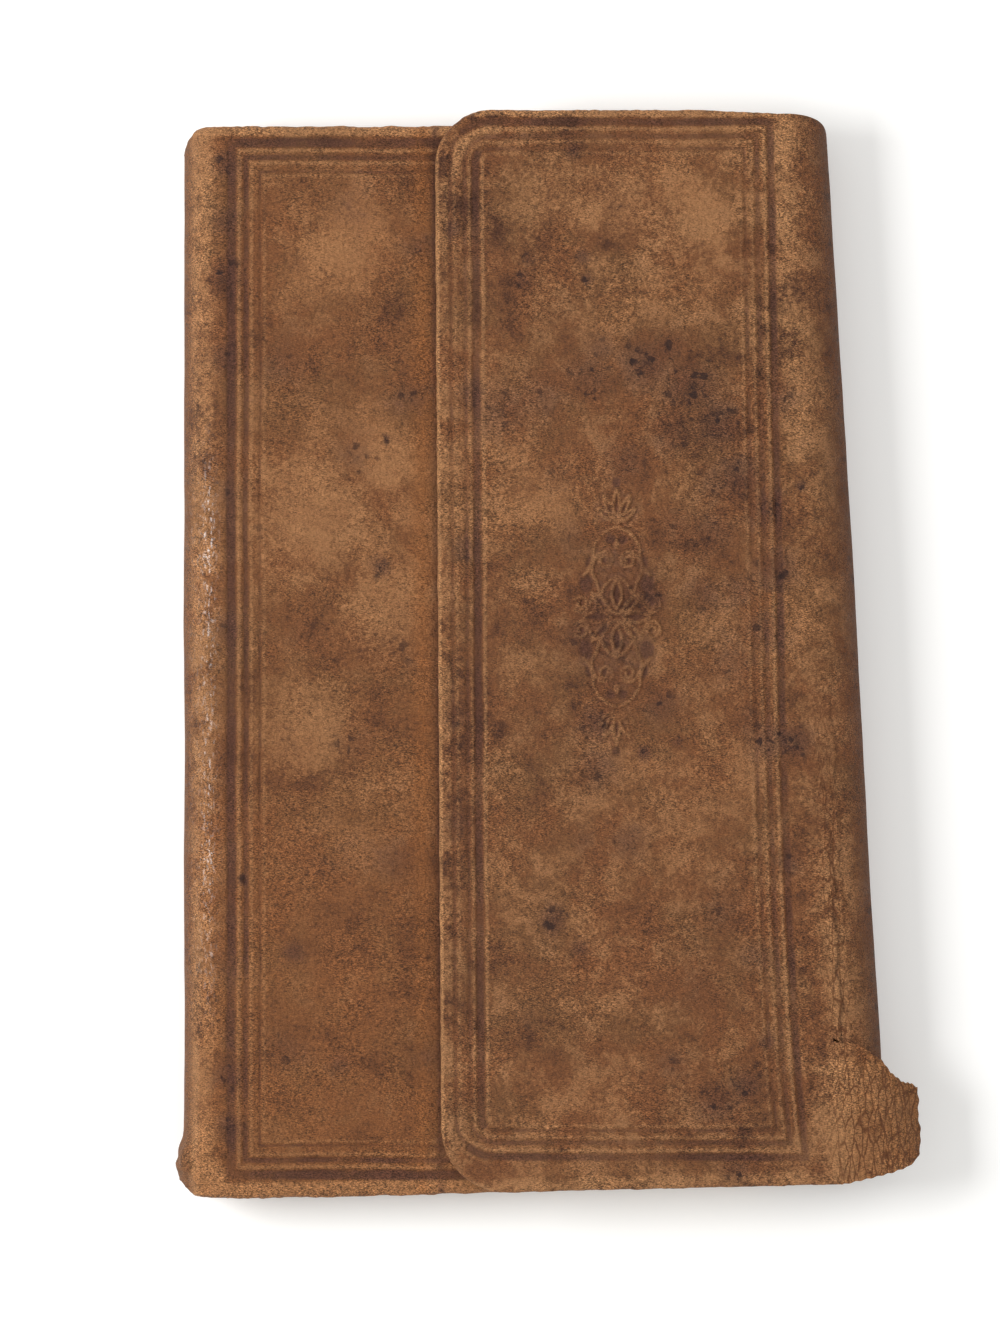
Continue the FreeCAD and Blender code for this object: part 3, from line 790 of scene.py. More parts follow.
def build_back_lining():
    """The pastedown of the back cover with the lining of the flat stretch beyond its board."""
    end = BOARD_HIGH.x + PAPER
    margin = BACK_LINING_HIGH.y
    columns = spaced((BACK_LINING_LOW.x + 0.5, 4.0), (end - 0.4, 0.08), (end + 0.4, 0.6), (ROLL_MIDDLE.x, 1))
    rows = spaced((-margin, 0.5), (12.0 - margin, 4.0), (margin - 12.0, 0.5), (margin, 1))
    return shell(columns, rows, back_lining_place, "back_lining_paper")


def leaf_sheet(bm, level, thickness, back, fore, half, seed):
    """One gathering of leaves: a thin slab with slightly uneven edges."""
    made = bmesh.ops.create_grid(bm, x_segments=22, y_segments=40, size=1)
    verts = made["verts"]
    faces = list({f for v in verts for f in v.link_faces})
    for v in verts:
        y = v.co.y * half
        nick = 0.14 * noise.noise(Vector((y / 9.0, seed * 3.1, 0.0)))
        ends = 0.16 * noise.noise(Vector((v.co.x * 4.0, seed * 2.3, 5.0)))
        x = back + (fore + nick - back) * (v.co.x + 1) / 2
        v.co = Vector((x, y * (1 + ends / half), level)) * MM
    region = bmesh.ops.extrude_face_region(bm, geom=faces)
    lifted = [g for g in region["geom"] if isinstance(g, bmesh.types.BMVert)]
    bmesh.ops.translate(bm, verts=lifted, vec=(0, 0, thickness * MM))


def build_pages():
    """The text block as gatherings of leaves, with a rounded back and a hollow fore-edge."""
    bm = bmesh.new()
    dice = random.Random(7)
    count = 40
    middle = SPINE_RADIUS
    thickness = (TEXT_HIGH.z - TEXT_LOW.z) / count
    back_radius = SPINE_X - TEXT_LOW.x
    for i in range(count):
        level = TEXT_LOW.z + thickness * i
        height = level + thickness / 2 - middle
        back = SPINE_X - math.sqrt(max(back_radius**2 - height**2, 0.0))
        share = abs(height) / (TEXT_HIGH.z - middle)
        fore = TEXT_HIGH.x - 0.9 * (1 - share**2) - dice.uniform(0.0, 0.12)
        half = TEXT_HIGH.y - dice.uniform(0.0, 0.14)
        leaf_sheet(bm, level, thickness * dice.uniform(0.82, 0.97), back, fore, half, i)
    bmesh.ops.recalc_face_normals(bm, faces=bm.faces)
    pages = object_from(bm, "pages")
    for polygon in pages.data.polygons:
        polygon.use_smooth = False
    return pages


def build_back_flyleaf():
    """The free leaf between the pages and the back cover, with its fold at the spine."""
    half = TEXT_HIGH.y - 0.3
    fold = BACK_LINING_LOW.x

    def place(a, b, depth):
        curl = 0.05 * np.sin(b / 17.0) * step(20.0, 42.0, a)
        z = TEXT_LOW.z - PAPER * 1.2 + curl * 0.3 + PAPER * 0.8 * (1 - depth)
        return np.stack([a, b, z + np.zeros_like(a)], 1)

    columns = spaced((fold, 3.0), (TEXT_HIGH.x - 0.3, 1))
    rows = spaced((-half, 3.0), (half, 1))
    return shell(columns, rows, place, "back_flyleaf")


# What the materials read from the mesh

# Patches as (x, y, radius, strength)
BLOTS_ON_FLAP = [
    (3, 38, 6, 0.5), (9, 40, 6, 0.42), (16, 43, 6, 0.55), (17.5, 47, 4, 0.5),
    (24, 45, 6, 0.72), (27.5, 47, 4, 0.6), (31, 41.5, 6.5, 0.7), (35, 36, 5.5, 0.75),
    (29, 35, 6, 0.5), (38.5, 28, 5, 0.75), (34, 27, 5, 0.5), (42.5, 23, 4.5, 0.65),
    (43.5, 14, 5, 0.7), (42, 5, 5, 0.55), (34, 19, 6, 0.5), (29, 20, 5, 0.4),
    (25.5, 9.5, 2.2, 0.85), (33, 10, 4, 0.55), (37.5, 0, 6, 0.4), (39, 11, 4.5, 0.5),
    (46.5, -12, 3.4, 1), (43, -11.5, 4.5, 0.7), (40, -9, 4, 0.5), (44.5, 40, 4, 0.5),
    (13.5, 18, 5, 0.4), (14.5, 4, 4, 0.55), (26.5, -6.5, 4.5, 0.6), (16.5, -9, 4, 0.62),
    (17, -16, 4.5, 0.5), (24, -13.5, 1.4, 1), (13.4, 76.8, 2, 0.85), (19, 76.4, 1.2, 0.6),
    (5.5, 57.5, 2.5, 0.7), (14.8, 61, 1.6, 0.85), (15.5, 57.5, 1.4, 0.8), (6.5, 60.5, 1.6, 0.75),
    (10.7, -38.7, 3, 0.85), (14.4, -43, 2, 0.7), (21.5, -26.5, 4, 0.6), (15, -26.5, 3, 0.45),
    (35, -66, 4.5, 0.62), (39.5, -63.5, 3.5, 0.78), (42.5, -57, 1.6, 0.8), (28, -60, 4, 0.45),
    (-4.7, 65, 1.6, 0.9), (-3, 17, 3, 0.55), (-3.5, -24, 3.5, 0.6), (-2, 40, 3.5, 0.5),
    (-4, -8, 3, 0.55), (29, -12, 1.2, 0.85), (36, -38, 6, 0.42), (46, -30, 3, 0.6),
    (41, -44, 4, 0.45), (7, -54, 4, 0.4), (32, -49, 5, 0.35), (47.5, 26.5, 1.2, 0.85),
    (22, 30, 5, 0.5), (11, 28, 4, 0.35), (47, -76, 3, 0.4), (38, -76.5, 3.5, 0.6),
]
BLOTS_ON_FRONT = [
    (-14.6, 33.7, 1, 1), (-36.3, -32.7, 1, 1), (-15.3, 14.2, 2.6, 0.85), (-19, 31, 6, 0.5),
    (-28.6, -43.5, 2.6, 0.8), (-11, 40, 6, 0.5), (-12, 2, 6, 0.45), (-20, -12, 6, 0.5),
    (-38.5, 58, 4, 0.8), (-38.8, 66, 3, 0.7), (-38.8, 46, 3.5, 0.65), (-38, 25, 3, 0.5),
    (-22, 68, 6, 0.35), (-30, 45, 6, 0.4), (-38.5, 75, 3, 0.7), (-28, 60, 2, 0.5),
    (-9, -60, 5, 0.4), (-30, -58, 6, 0.45), (-13, -30, 5, 0.4), (-26, 5, 5, 0.4),
    (-9.5, 62, 4, 0.5), (-38, -62, 4, 0.75), (-38, -70, 3, 0.75), (-38.5, -45, 3, 0.5),
    (-43.5, 50, 1.6, 0.7), (-43.8, 62, 1.6, 0.8), (-44.5, -75, 2, 0.7), (-33, 20, 4, 0.4),
    (-24, -30, 6, 0.35), (-38.5, -15, 4, 0.45), (-38.3, 5, 3, 0.5), (-21.5, -60, 3, 0.5),
]
PALE_PATCHES = [
    (20, 69, 10, 0.8), (31, 66, 10, 0.75), (9, 70, 8, 0.7), (20, 57, 9, 0.5),
    (-26, 22, 14, 1), (-14, 8, 11, 0.95), (-27, -10, 11, 0.95), (-14, 30, 9, 0.8),
    (-23, 62, 8, 0.7), (-19, -18, 7, 0.5), (-33, -20, 4, 0.4), (14, -38.7, 3, 0.8),
    (26, 62, 9, 0.35), (4, 60, 4, 0.35), (8, 25, 5, 0.35), (20, -24, 6, 0.35),
    (31, 27, 4, 0.5), (-25, 34, 5, 0.4), (57, -73, 4.5, 0.9), (47, -76, 4, 0.7),
    (26, 3, 5, 0.3), (-16, -52, 6, 0.3),
]


def blots(x, y, places):
    """How strongly each point lies in a listed patch."""
    total = np.zeros_like(x)
    for cx, cy, radius, strength in places:
        total = np.maximum(total, strength * np.exp(-((x - cx) ** 2 + (y - cy) ** 2) / (radius * 0.8) ** 2))
    return total


def edge_wear(x, y, name):
    """Rubbed, lighter leather: along the edges and the spine, and at the torn end."""
    if name == "case_skin":
        inside = HALF_HEIGHT + HEAD_SWELL - np.abs(y) - (y < 0) * tail_taper(x)
        ends = np.where(y > 0, step(2.1, 0.9, inside), step(3.0, 1.8, inside))
        spine = step(-39.0, -42.0, x) * (0.62 + 0.25 * step(-50.0, -75.0, y) + 0.1 * step(50.0, 75.0, y))
        corner = 1.35 * step(9.0, 4.0, np.hypot(x + 45.0, y + 80.0))
        return highest(ends, spine, corner)
    outside = local_across(x, y)
    roll = 0.2 + 0.12 * step(-10.0, -4.0, outside)
    roll += 0.35 * step(-7.0, 1.0, outside) * step(-56.0, -62.0, y)
    roll += (0.3 * step(15.0, 45.0, y) + 0.3 * step(58.0, 80.0, y)) * bell(outside, 0.3, 2.2)
    roll += 0.35 * step(-20.0, -45.0, y) * bell(outside, 0.8, 2.0)
    if name == "torn_ear":
        return np.maximum(roll, 0.85 * step(-71.0, -75.5, y) * step(1.0, 5.0, outside))
    if name != "flap_skin":
        return roll
    free = x - free_edge_x(y)
    edges = highest(step(0.9, 0.3, free), 0.45 * step(2.4, 1.6, free), step(1.5, 0.7, FLAP_HEAD - y) * 0.9)
    corner = 0.8 * bell(np.hypot(x - 2.0, y - 73.5), 6.4, 1.2) * (x < 3) * (y > 73)
    tail = 0.75 * step(3.2, 1.2, y - FLAP_TAIL - TAIL_RISE * np.clip(x / 50, 0, 1))
    return highest(edges, corner, tail, roll)


def points_of(obj):
    """The mesh's points in millimetres."""
    co = np.zeros(len(obj.data.vertices) * 3, np.float32)
    obj.data.vertices.foreach_get("co", co)
    return co.reshape(-1, 3).astype(float) / MM


MARKS = ("tooling", "ridge", "stain_and_shade", "pale", "wear", "crease", "cracked", "warm", "painted_shade", "polish")
ONLY_ON_TOP = ("tooling", "ridge", "stain_and_shade", "pale", "warm")
TOP_FROM = {"case_skin": CLOSED - 1.2, "flap_skin": FLAP_TOP - 1.2}


def case_marks(x, y):
    """Marks of the covers and the spine: a painted shadow line under the flap's free edge, fresh leather
    beside it, painted shade on the spine's outer edge, and polish.
    """
    tooling, ridge = front_tooling(x, y)
    # painted shadow: a dark line under the flap's free edge, laid in with the tooled lines
    tooling = np.maximum(tooling, 0.8 * bell(x, free_edge_x(y), 0.55))
    beside_flap = step(-12.5, -9.0, x) * step(-7.9, -8.6, x)
    shine = bell(x, -42.3, 2.2) * step(40, 14, y) * step(-58, -34, y)
    shine *= 0.55 + 0.45 * step(-0.1, 0.15, noise_at(flat_points(0 * x, y), 9.0, 21))
    return {
        "tooling": tooling,
        "ridge": ridge,
        "stain_and_shade": blots(x, y, BLOTS_ON_FRONT),
        "warm": np.maximum(beside_flap, 0.14 + 0.4 * step(10.0, -60.0, y)),
        # painted shade: the spine's outer edge darkened where it turns from the light
        "painted_shade": step(-43.0, -44.8, x),
        "polish": shine,
    }


def flap_and_roll_marks(x, y, z, name):
    """Marks of the flap, the torn ear and the roll's two halves."""
    outside = local_across(x, y)
    around = outside
    # painted shade: the roll darkened where it curves away from the light
    marks = {"stain_and_shade": blots(x, y, BLOTS_ON_FLAP), "painted_shade": 0.8 * step(2.5, 7.0, outside)}
    if name == "flap_skin":
        tooling, ridge = flap_tooling(x, y)
        raised, ground = ornament(x, y)
        marks["tooling"] = np.maximum(tooling * 0.85, ground * 0.75)
        marks["ridge"] = np.maximum(ridge, raised * 0.8)
        round_ornament = 0.4 * np.exp(-(((x - ORNAMENT_MIDDLE[0]) / 7.5) ** 2) - ((y - 5.0) / 17.0) ** 2)
        marks["stain_and_shade"] = np.maximum(round_ornament, marks["stain_and_shade"])
    elif name == "torn_ear":
        # painted shade towards the ear's curled-down end
        marks["painted_shade"] = 0.4 * step(8.0, 12.5, outside)
    else:
        around = (90 - np.degrees(np.arctan2(z - ROLL_RADIUS, outside))) / 57.3 * ROLL_RADIUS
        # painted shadow beside the tear under the ear's raised edge, and painted shade where the roll curves
        # down
        painted_shadow_by_tear = bell(y, along_curve(TEAR, around), 1.6) * step(0.0, 2.0, around)
        marks["stain_and_shade"] = highest(marks["stain_and_shade"], 0.75 * painted_shadow_by_tear, 0.4 * step(4.0, 9.0, around))
    if name in ("flap_skin", "torn_ear"):
        marks["warm"] = 0.5 * step(-2.0, 5.0, outside) * step(-50.0, -62.0, y)
    marks["crease"] = crack(around, y)
    marks["cracked"] = crease_strength(fold_x(y) + around, y)
    return marks


def mark_leather(obj):
    """Stores the marks of a leather piece as attributes that its material reads."""
    x, y, z = points_of(obj).T
    name = obj.name
    marks = case_marks(x, y) if name == "case_skin" else flap_and_roll_marks(x, y, z, name)
    marks["pale"] = blots(x, y, PALE_PATCHES)
    marks["wear"] = edge_wear(x, y, name)
    top = z > TOP_FROM.get(name, ROLL_RADIUS)
    for key in MARKS:
        values = marks.get(key, np.zeros_like(x))
        if key in ONLY_ON_TOP:
            values = np.where(top, values, 0)
        layer = obj.data.attributes.new(key, "FLOAT", "POINT")
        layer.data.foreach_set("value", values.astype(np.float32))


# Shader building blocks

class Nodes:
    """Short ways to add and wire the nodes of a material or a group."""

    def __init__(self, tree):
        self.tree = tree
        self.count = 0

    def add(self, kind, **settings):
        """A node with its settings. A name that starts with a capital letter is a socket's."""
        node = self.tree.nodes.new(kind)
        node.location = (self.count % 8 * 200, -(self.count // 8) * 260)
        self.count += 1
        for key, value in settings.items():
            if key[0].isupper():
                self.feed(node.inputs[key], value)
            else:
                setattr(node, key, value)
        return node

    def feed(self, socket, value):
        """Links a socket to another one, or sets its value."""
        if isinstance(value, bpy.types.NodeSocket):
            self.tree.links.new(value, socket)
        else:
            socket.default_value = value

    def fill(self, node, *given):
        """Feeds a node's first sockets in order, and gives its first output."""
        for socket, value in zip(node.inputs, given):
            self.feed(socket, value)
        return node.outputs[0]

    def maths(self, operation, a, b):
        return self.fill(self.add("ShaderNodeMath", operation=operation), a, b)

    def vector(self, operation, *given):
        return self.fill(self.add("ShaderNodeVectorMath", operation=operation), *given)

    def scaled(self, vector, by):
        """A vector or a colour times a number."""
        return self.fill(self.add("ShaderNodeVectorMath", operation="SCALE", Scale=by), vector)

    def sum(self, *terms):
        """Adds up (value, weight) terms."""
        total = 0.0
        for value, weight in terms:
            total = self.fill(self.add("ShaderNodeMath", operation="MULTIPLY_ADD"), value, weight, total)
        return total

    def span(self, value, low, high, to_low=0.0, to_high=1.0):
        """A smooth, clamped change of range."""
        node = self.add("ShaderNodeMapRange", interpolation_type="SMOOTHSTEP")
        return self.fill(node, value, low, high, to_low, to_high)

    def mix(self, factor, a, b):
        """Mixes two colours, through the node's sockets for colours."""
        node = self.add("ShaderNodeMix", data_type="RGBA")
        self.feed(node.inputs[0], factor)
        self.feed(node.inputs[6], a)
        self.feed(node.inputs[7], b)
        return node.outputs[2]

    def paint(self, body, factor, colour):
        """Lays a colour over a body."""
        return self.mix(factor, body, with_alpha(colour))

    def layer(self, body, colour, reach, *terms):
        """Lays a colour over a body where the sum of terms rises. reach is (from, to, strength)."""
        start, full, strength = reach
        return self.paint(body, self.span(self.sum(*terms), start, full, 0.0, strength), colour)

    def noise(self, vector, scale, detail, roughness, distortion=0.0):
        sockets = {"Detail": detail, "Roughness": roughness, "Distortion": distortion}
        return self.add("ShaderNodeTexNoise", Vector=vector, Scale=scale, **sockets).outputs[0]

    def cells(self, vector, scale, feature="F1"):
        node = self.add("ShaderNodeTexVoronoi", feature=feature, Vector=vector, Scale=scale)
        return node.outputs["Distance"]

    def mapped(self, vector, **settings):
        """A place that is turned and stretched."""
        return self.add("ShaderNodeMapping", Vector=vector, **settings).outputs[0]

    def attribute(self, name):
        return self.add("ShaderNodeAttribute", attribute_name=name).outputs["Fac"]

    def millimetres(self):
        """Object coordinates in millimetres."""
        return self.scaled(self.add("ShaderNodeTexCoord").outputs["Object"], 1 / MM)

    def bump(self, shader, height, distance, strength=1.0):
        """Roughens a shader's surface. The distance is in millimetres."""
        node = self.add("ShaderNodeBump", Height=height, Distance=distance * MM, Strength=strength)
        self.feed(shader.inputs["Normal"], node.outputs[0])


def new_group(name, size, *outputs):
    """An empty node group that takes a place and a size, and gives the named values."""
    tree = bpy.data.node_groups.new(name, "ShaderNodeTree")
    sockets = [("Place", "INPUT", "NodeSocketVector"), (size, "INPUT", "NodeSocketFloat")]
    sockets += [(label, "OUTPUT", "NodeSocketFloat") for label in outputs]
    for label, way, kind in sockets:
        tree.interface.new_socket(name=label, in_out=way, socket_type=kind)
    given = tree.nodes.new("NodeGroupInput").outputs
    out = tree.nodes.new("NodeGroupOutput").inputs
    return tree, Nodes(tree), given["Place"], given[size], out


def grain_group():
    """Hide grain: the height of pebbles, nap and pores, the wrinkles between pebbles, and long splits."""
    tree, n, place, size, out = new_group("Hide grain", "Pebble size", "Height", "Wrinkle", "Split")
    warp = n.add("ShaderNodeTexNoise", Vector=place, Scale=0.7, Detail=4.0).outputs["Color"]
    uneven = n.vector("MULTIPLY_ADD", warp, (2.2, 2.2, 2.2), place)
    squeezed = n.vector("MULTIPLY", uneven, (1.25, 0.8, 1.0))
    edge = n.cells(squeezed, n.maths("DIVIDE", 1.0, size), "DISTANCE_TO_EDGE")
    pebble = n.span(edge, 0.0, 0.2)
    nap = n.noise(place, 2.6, 5.0, 0.75)
    pore = n.span(n.cells(place, 1.25), 0.26, 0.1)
    crowd = n.span(n.noise(place, 0.22, 4.0, 0.6), 0.46, 0.6)
    pore = n.maths("MULTIPLY", pore, crowd)
    n.feed(out["Height"], n.sum((pebble, 0.4), (nap, 1.5), (pore, -0.7)))
    n.feed(out["Wrinkle"], n.maths("SUBTRACT", 1.0, pebble))
    bent = n.vector("MULTIPLY_ADD", warp, (0.9, 0.6, 0.0), place)
    long_cells = n.mapped(bent, Scale=(0.95, 0.22, 0.25))
    n.feed(out["Split"], n.span(n.cells(long_cells, 1.0, "DISTANCE_TO_EDGE"), 0.1, 0.0))
    return tree


def mottle_group():
    """Tones of an old natural surface: four from broad to nap, each about 0, and flecks, specks and drops."""
    tree, n, place, size, out = new_group(
        "Mottle", "Patch size", "Broad", "Patchy", "Fine", "Nap", "Fleck", "Speck", "Drop"
    )
    rate = n.maths("DIVIDE", 1.0, size)
    drawn = n.mapped(place, Rotation=(0, 0, 0.6), Scale=(0.6, 1.5, 1.0))
    tones = {
        "Broad": n.noise(place, rate, 3.0, 0.55, 0.5),
        "Patchy": n.noise(place, n.maths("MULTIPLY", rate, 4.5), 8.0, 0.66, 0.3),
        "Fine": n.noise(place, 1.25, 6.0, 0.7),
        "Nap": n.noise(drawn, 5.0, 3.0, 0.75, 0.6),
    }
    for name, tone in tones.items():
        n.feed(out[name], n.maths("SUBTRACT", tone, 0.5))
    n.feed(out["Fleck"], n.span(n.noise(drawn, 1.9, 5.0, 0.75, 1.0), 0.55, 0.68))
    dots = []
    for per_mm, reach, kind in ((0.85, 0.3, "3D"), (1.9, 0.34, "3D"), (0.4, 0.36, "2D")):
        dot = n.add("ShaderNodeTexVoronoi", voronoi_dimensions=kind, Vector=place, Scale=per_mm).outputs
        rim = n.sum((dot["Distance"], 1.0), (dot["Color"], 0.35), (tones["Fine"], 0.9), (-0.45, 1.0))
        dots.append(n.span(rim, reach, reach - 0.12))
    n.feed(out["Speck"], n.maths("MAXIMUM", dots[0], dots[1]))
    n.feed(out["Drop"], dots[2])
    return tree


def placed(n, tree, **inputs):
    """A group node in a material, with its own values."""
    node = n.add("ShaderNodeGroup", node_tree=tree)
    for key, value in inputs.items():
        n.feed(node.inputs[key.replace("_", " ").capitalize()], value)
    return node.outputs


def new_material(name, **constants):
    """A material with its shader, whose sockets get the constants, and the builder for its nodes."""
    material = bpy.data.materials.new(name)
    material.use_nodes = True
    shader = material.node_tree.nodes["Principled BSDF"]
    for key, value in constants.items():
        shader.inputs[key.replace("_", " ")].default_value = value
    return material, shader, Nodes(material.node_tree)


def with_alpha(colour):
    return (*colour[:3], 1.0)


def leather_material(groups, colours):
    """Old calf: mottled brown, darker in the tooling, stained, with painted shade on the roll, the spine's
    edge and under the flap's edge, and rubbed pale at its edges.
    """
    _, shader, n = new_material(
        "aged_leather", Coat_Roughness=0.36, Coat_IOR=2.0, Specular_IOR_Level=0.25
    )
    place = n.millimetres()
    grain = placed(n, groups["grain"], place=place, pebble_size=1.3)
    tone = placed(n, groups["mottle"], place=place, patch_size=24.0)
    broad, patchy, fine, nap = (tone[name] for name in ("Broad", "Patchy", "Fine", "Nap"))
    tooling, ridge, stain_and_shade, pale, wear, crease, cracked, warm, painted_shade, polish = map(n.attribute, MARKS)

    # The hide, from its dark to its light tone
    tint = n.span(n.sum((n.noise(place, 0.07, 4.0, 0.6), 1.0), (patchy, 0.6)), 0.36, 0.66)
    hide = n.mix(tint, with_alpha(colours.leather), with_alpha(colours.leather_olive))
    level = n.sum((broad, 1.7), (patchy, 2.1), (fine, 0.7), (pale, 0.3), (0.5, 1.0))
    body = n.mix(n.span(level, -0.05, 0.5), with_alpha(colours.leather_dark), hide)
    body = n.paint(body, n.span(level, 0.5, 1.1), colours.leather_light)

    # Rubbed edges, faded patches, ridges beside the tooling, unfaded leather, and painted shade on the sides
    # of the roll, the spine's outer edge and the ear's end
    rubbed = ((wear, 1.0), (patchy, 2.1), (fine, 1.3), (nap, 0.4))
    body = n.layer(body, colours.worn, (0.15, 1.05, 0.85), *rubbed)
    bleached = ((pale, 1.0), (patchy, 0.8), (fine, 1.2), (nap, 1.0))
    body = n.layer(body, colours.worn, (0.3, 1.0, 0.55), *bleached)
    raised = ((ridge, 1.0), (fine, 1.4), (patchy, 1.0), (nap, 1.0))
    body = n.layer(body, colours.worn, (0.15, 1.0, 0.5), *raised)
    body = n.paint(body, n.maths("MULTIPLY", warm, 0.6), colours.leather_warm)
    body = n.layer(body, colours.split, (0.05, 0.9, 0.7), (painted_shade, 0.75), (fine, 0.8))

    # The pressed lines with the painted shadow under the flap's edge, soft dark clouds of stains and of
    # painted shade on the roll, and the clots inside them
    pressed = ((tooling, 1.0), (fine, 1.6), (patchy, 1.3), (nap, 1.2))
    body = n.layer(body, colours.tooled_and_shade, (0.1, 1.0, 0.78), *pressed)
    cloud = ((stain_and_shade, 1.1), (patchy, 1.6), (broad, 0.5), (fine, 0.9), (pale, -0.35))
    body = n.layer(body, colours.tooled_and_shade, (0.1, 0.9, 0.57), *cloud)
    clots = ((n.noise(place, 0.55, 5.0, 0.7, 0.5), 3.2), (stain_and_shade, 0.8), (-1.6, 1.0))
    body = n.layer(body, colours.stain_and_shade, (0.68, 0.86, 0.6), *clots)

    # Light and dark in the finest grain, coarser in some places than in others
    coarse = n.span(n.noise(place, 0.11, 3.0, 0.6), 0.35, 0.65, 0.7, 1.7)
    coarse = n.maths("MULTIPLY", coarse, n.sum((wear, 0.4), (pale, -0.45), (1.0, 1.0)))
    rough = n.maths("MULTIPLY", n.sum((nap, 4.2), (fine, 1.0)), coarse)
    rough = n.sum((rough, 1.0), (tone["Fleck"], 0.34), (grain["Wrinkle"], -0.1))
    body = n.scaled(body, n.maths("MAXIMUM", n.maths("ADD", rough, 1.0), 0.3))

    # Specks, drops and cracks
    crowd = n.span(n.noise(place, 0.13, 5.0, 0.65), 0.42, 0.7, 0.03, 0.45)
    specks = n.maths("MULTIPLY", tone["Speck"], n.maths("MAXIMUM", crowd, stain_and_shade))
    drops = n.maths("MULTIPLY", tone["Drop"], n.span(stain_and_shade, 0.14, 0.6, 0.0, 0.8))
    specks = n.maths("MAXIMUM", n.maths("MAXIMUM", specks, drops), n.maths("MULTIPLY", crease, 0.6))
    body = n.paint(body, specks, colours.stain_and_shade)
    splits = n.maths("MULTIPLY", grain["Split"], cracked)
    body = n.paint(body, n.maths("MULTIPLY", splits, 0.8), colours.split)
    n.feed(shader.inputs["Base Color"], body)

    # Sheen, glints where the spine is polished by hands, and relief
    n.feed(shader.inputs["Roughness"], n.sum((fine, 0.9), (0.62, 1.0)))
    streaks = n.mapped(place, Scale=(2.6, 0.9, 1.0))
    glints = n.span(n.noise(streaks, 1.0, 5.0, 0.75), 0.53, 0.63)
    n.feed(shader.inputs["Coat Weight"], n.maths("MULTIPLY", polish, glints))
    n.bump(shader, n.sum((grain["Height"], 1.0), (nap, 1.2), (splits, -0.8)), 0.2, 0.8)


def paper_material(groups, colours):
    """Aged rag paper: foxed and slightly uneven."""
    _, shader, n = new_material("old_paper", Roughness=0.85)
    place = n.millimetres()
    tone = placed(n, groups["mottle"], place=place, patch_size=30.0)
    level = n.sum((tone["Broad"], 1.4), (tone["Patchy"], 0.9), (tone["Fine"], 0.4), (0.6, 1.0))
    body = n.mix(n.span(level, 0.1, 0.9), with_alpha(colours.paper_dark), with_alpha(colours.paper))
    fox = n.span(n.cells(place, 0.16), 0.22, 0.05)
    body = n.paint(body, n.maths("MULTIPLY", fox, 0.35), colours.leather_light)
    n.feed(shader.inputs["Base Color"], body)
    n.bump(shader, n.noise(place, 4.0, 4.0, 0.6), 0.05, 0.3)


def linen_material(groups, colours):
    """Plain woven tape and cloth."""
    _, shader, n = new_material("linen", Roughness=0.9)
    weave = {"wave_type": "BANDS", "Vector": n.millimetres(), "Scale": 0.7, "Distortion": 0.6}
    threads = [n.add("ShaderNodeTexWave", bands_direction=axis, **weave).outputs["Fac"] for axis in "XY"]
    crossed = n.maths("MULTIPLY", *threads)
    body = n.mix(crossed, with_alpha(colours.paper_dark), with_alpha(colours.paper))
    n.feed(shader.inputs["Base Color"], body)
    n.bump(shader, crossed, 0.08)


def board_material(groups, colours):
    """Grey-brown pasteboard."""
    _, shader, n = new_material("pasteboard", Roughness=0.9)
    tone = placed(n, groups["mottle"], place=n.millimetres(), patch_size=8.0)
    level = n.sum((tone["Fine"], 2.0), (0.6, 1.0))
    body = n.mix(n.span(level, 0.0, 1.0), with_alpha(colours.stain_and_shade), with_alpha(colours.paper_dark))
    n.feed(shader.inputs["Base Color"], body)


def materials():
    """The finishes, made once."""
    if "aged_leather" not in bpy.data.materials:
        colours = bpy.context.scene.wallet_book_colours
        groups = {"grain": grain_group(), "mottle": mottle_group()}
        for make in (leather_material, paper_material, linen_material, board_material):
            make(groups, colours)
    return bpy.data.materials


def dress(obj, *names):
    """Gives an object its materials."""
    obj.data.materials.clear()
    for name in names:
        obj.data.materials.append(materials()[name])


# Settings

def colour_property(name, description, default):
    return bpy.props.FloatVectorProperty(
        name=name, description=description, subtype="COLOR", size=3, min=0, max=1, default=default
    )


class WalletBookColours(bpy.types.PropertyGroup):
    """Colours of the hide, its wear and the paper."""

    leather: colour_property("Leather", "Middle tone of the hide", (0.197, 0.0735, 0.0265))
    leather_olive: colour_property("Olive leather", "Greener parts of the hide", (0.185, 0.079, 0.0295))
    leather_warm: colour_property("Fresh leather", "Hide that the flap kept from light", (0.29, 0.105, 0.03))
    leather_dark: colour_property("Dark leather", "Handled, darker tone of the hide", (0.083, 0.031, 0.0145))
    leather_light: colour_property("Light leather", "Dry, lighter tone of the hide", (0.325, 0.143, 0.056))
    worn: colour_property("Worn leather", "Where the grain is rubbed off", (0.41, 0.2, 0.084))
    # the tooled colour is also painted as shadow under the flap's edge and as shade on the roll
    tooled_and_shade: colour_property("Tooled line", "Leather darkened by the hot tool", (0.074, 0.029, 0.021))
    # the stain colour is also painted as shade beside the roll's tear
    stain_and_shade: colour_property("Stain", "Old ink and damp", (0.026, 0.011, 0.009))
    # the split colour is also painted as shade on the roll's far side, the spine's outer edge and the ear's
    # end
    split: colour_property("Split", "Rusty brown in the cracks of the grain", (0.11, 0.035, 0.012))
    paper: colour_property("Paper", "Leaves and linings", (0.62, 0.5, 0.33))
    paper_dark: colour_property("Browned paper", "Paper browned by the leather", (0.44, 0.31, 0.17))


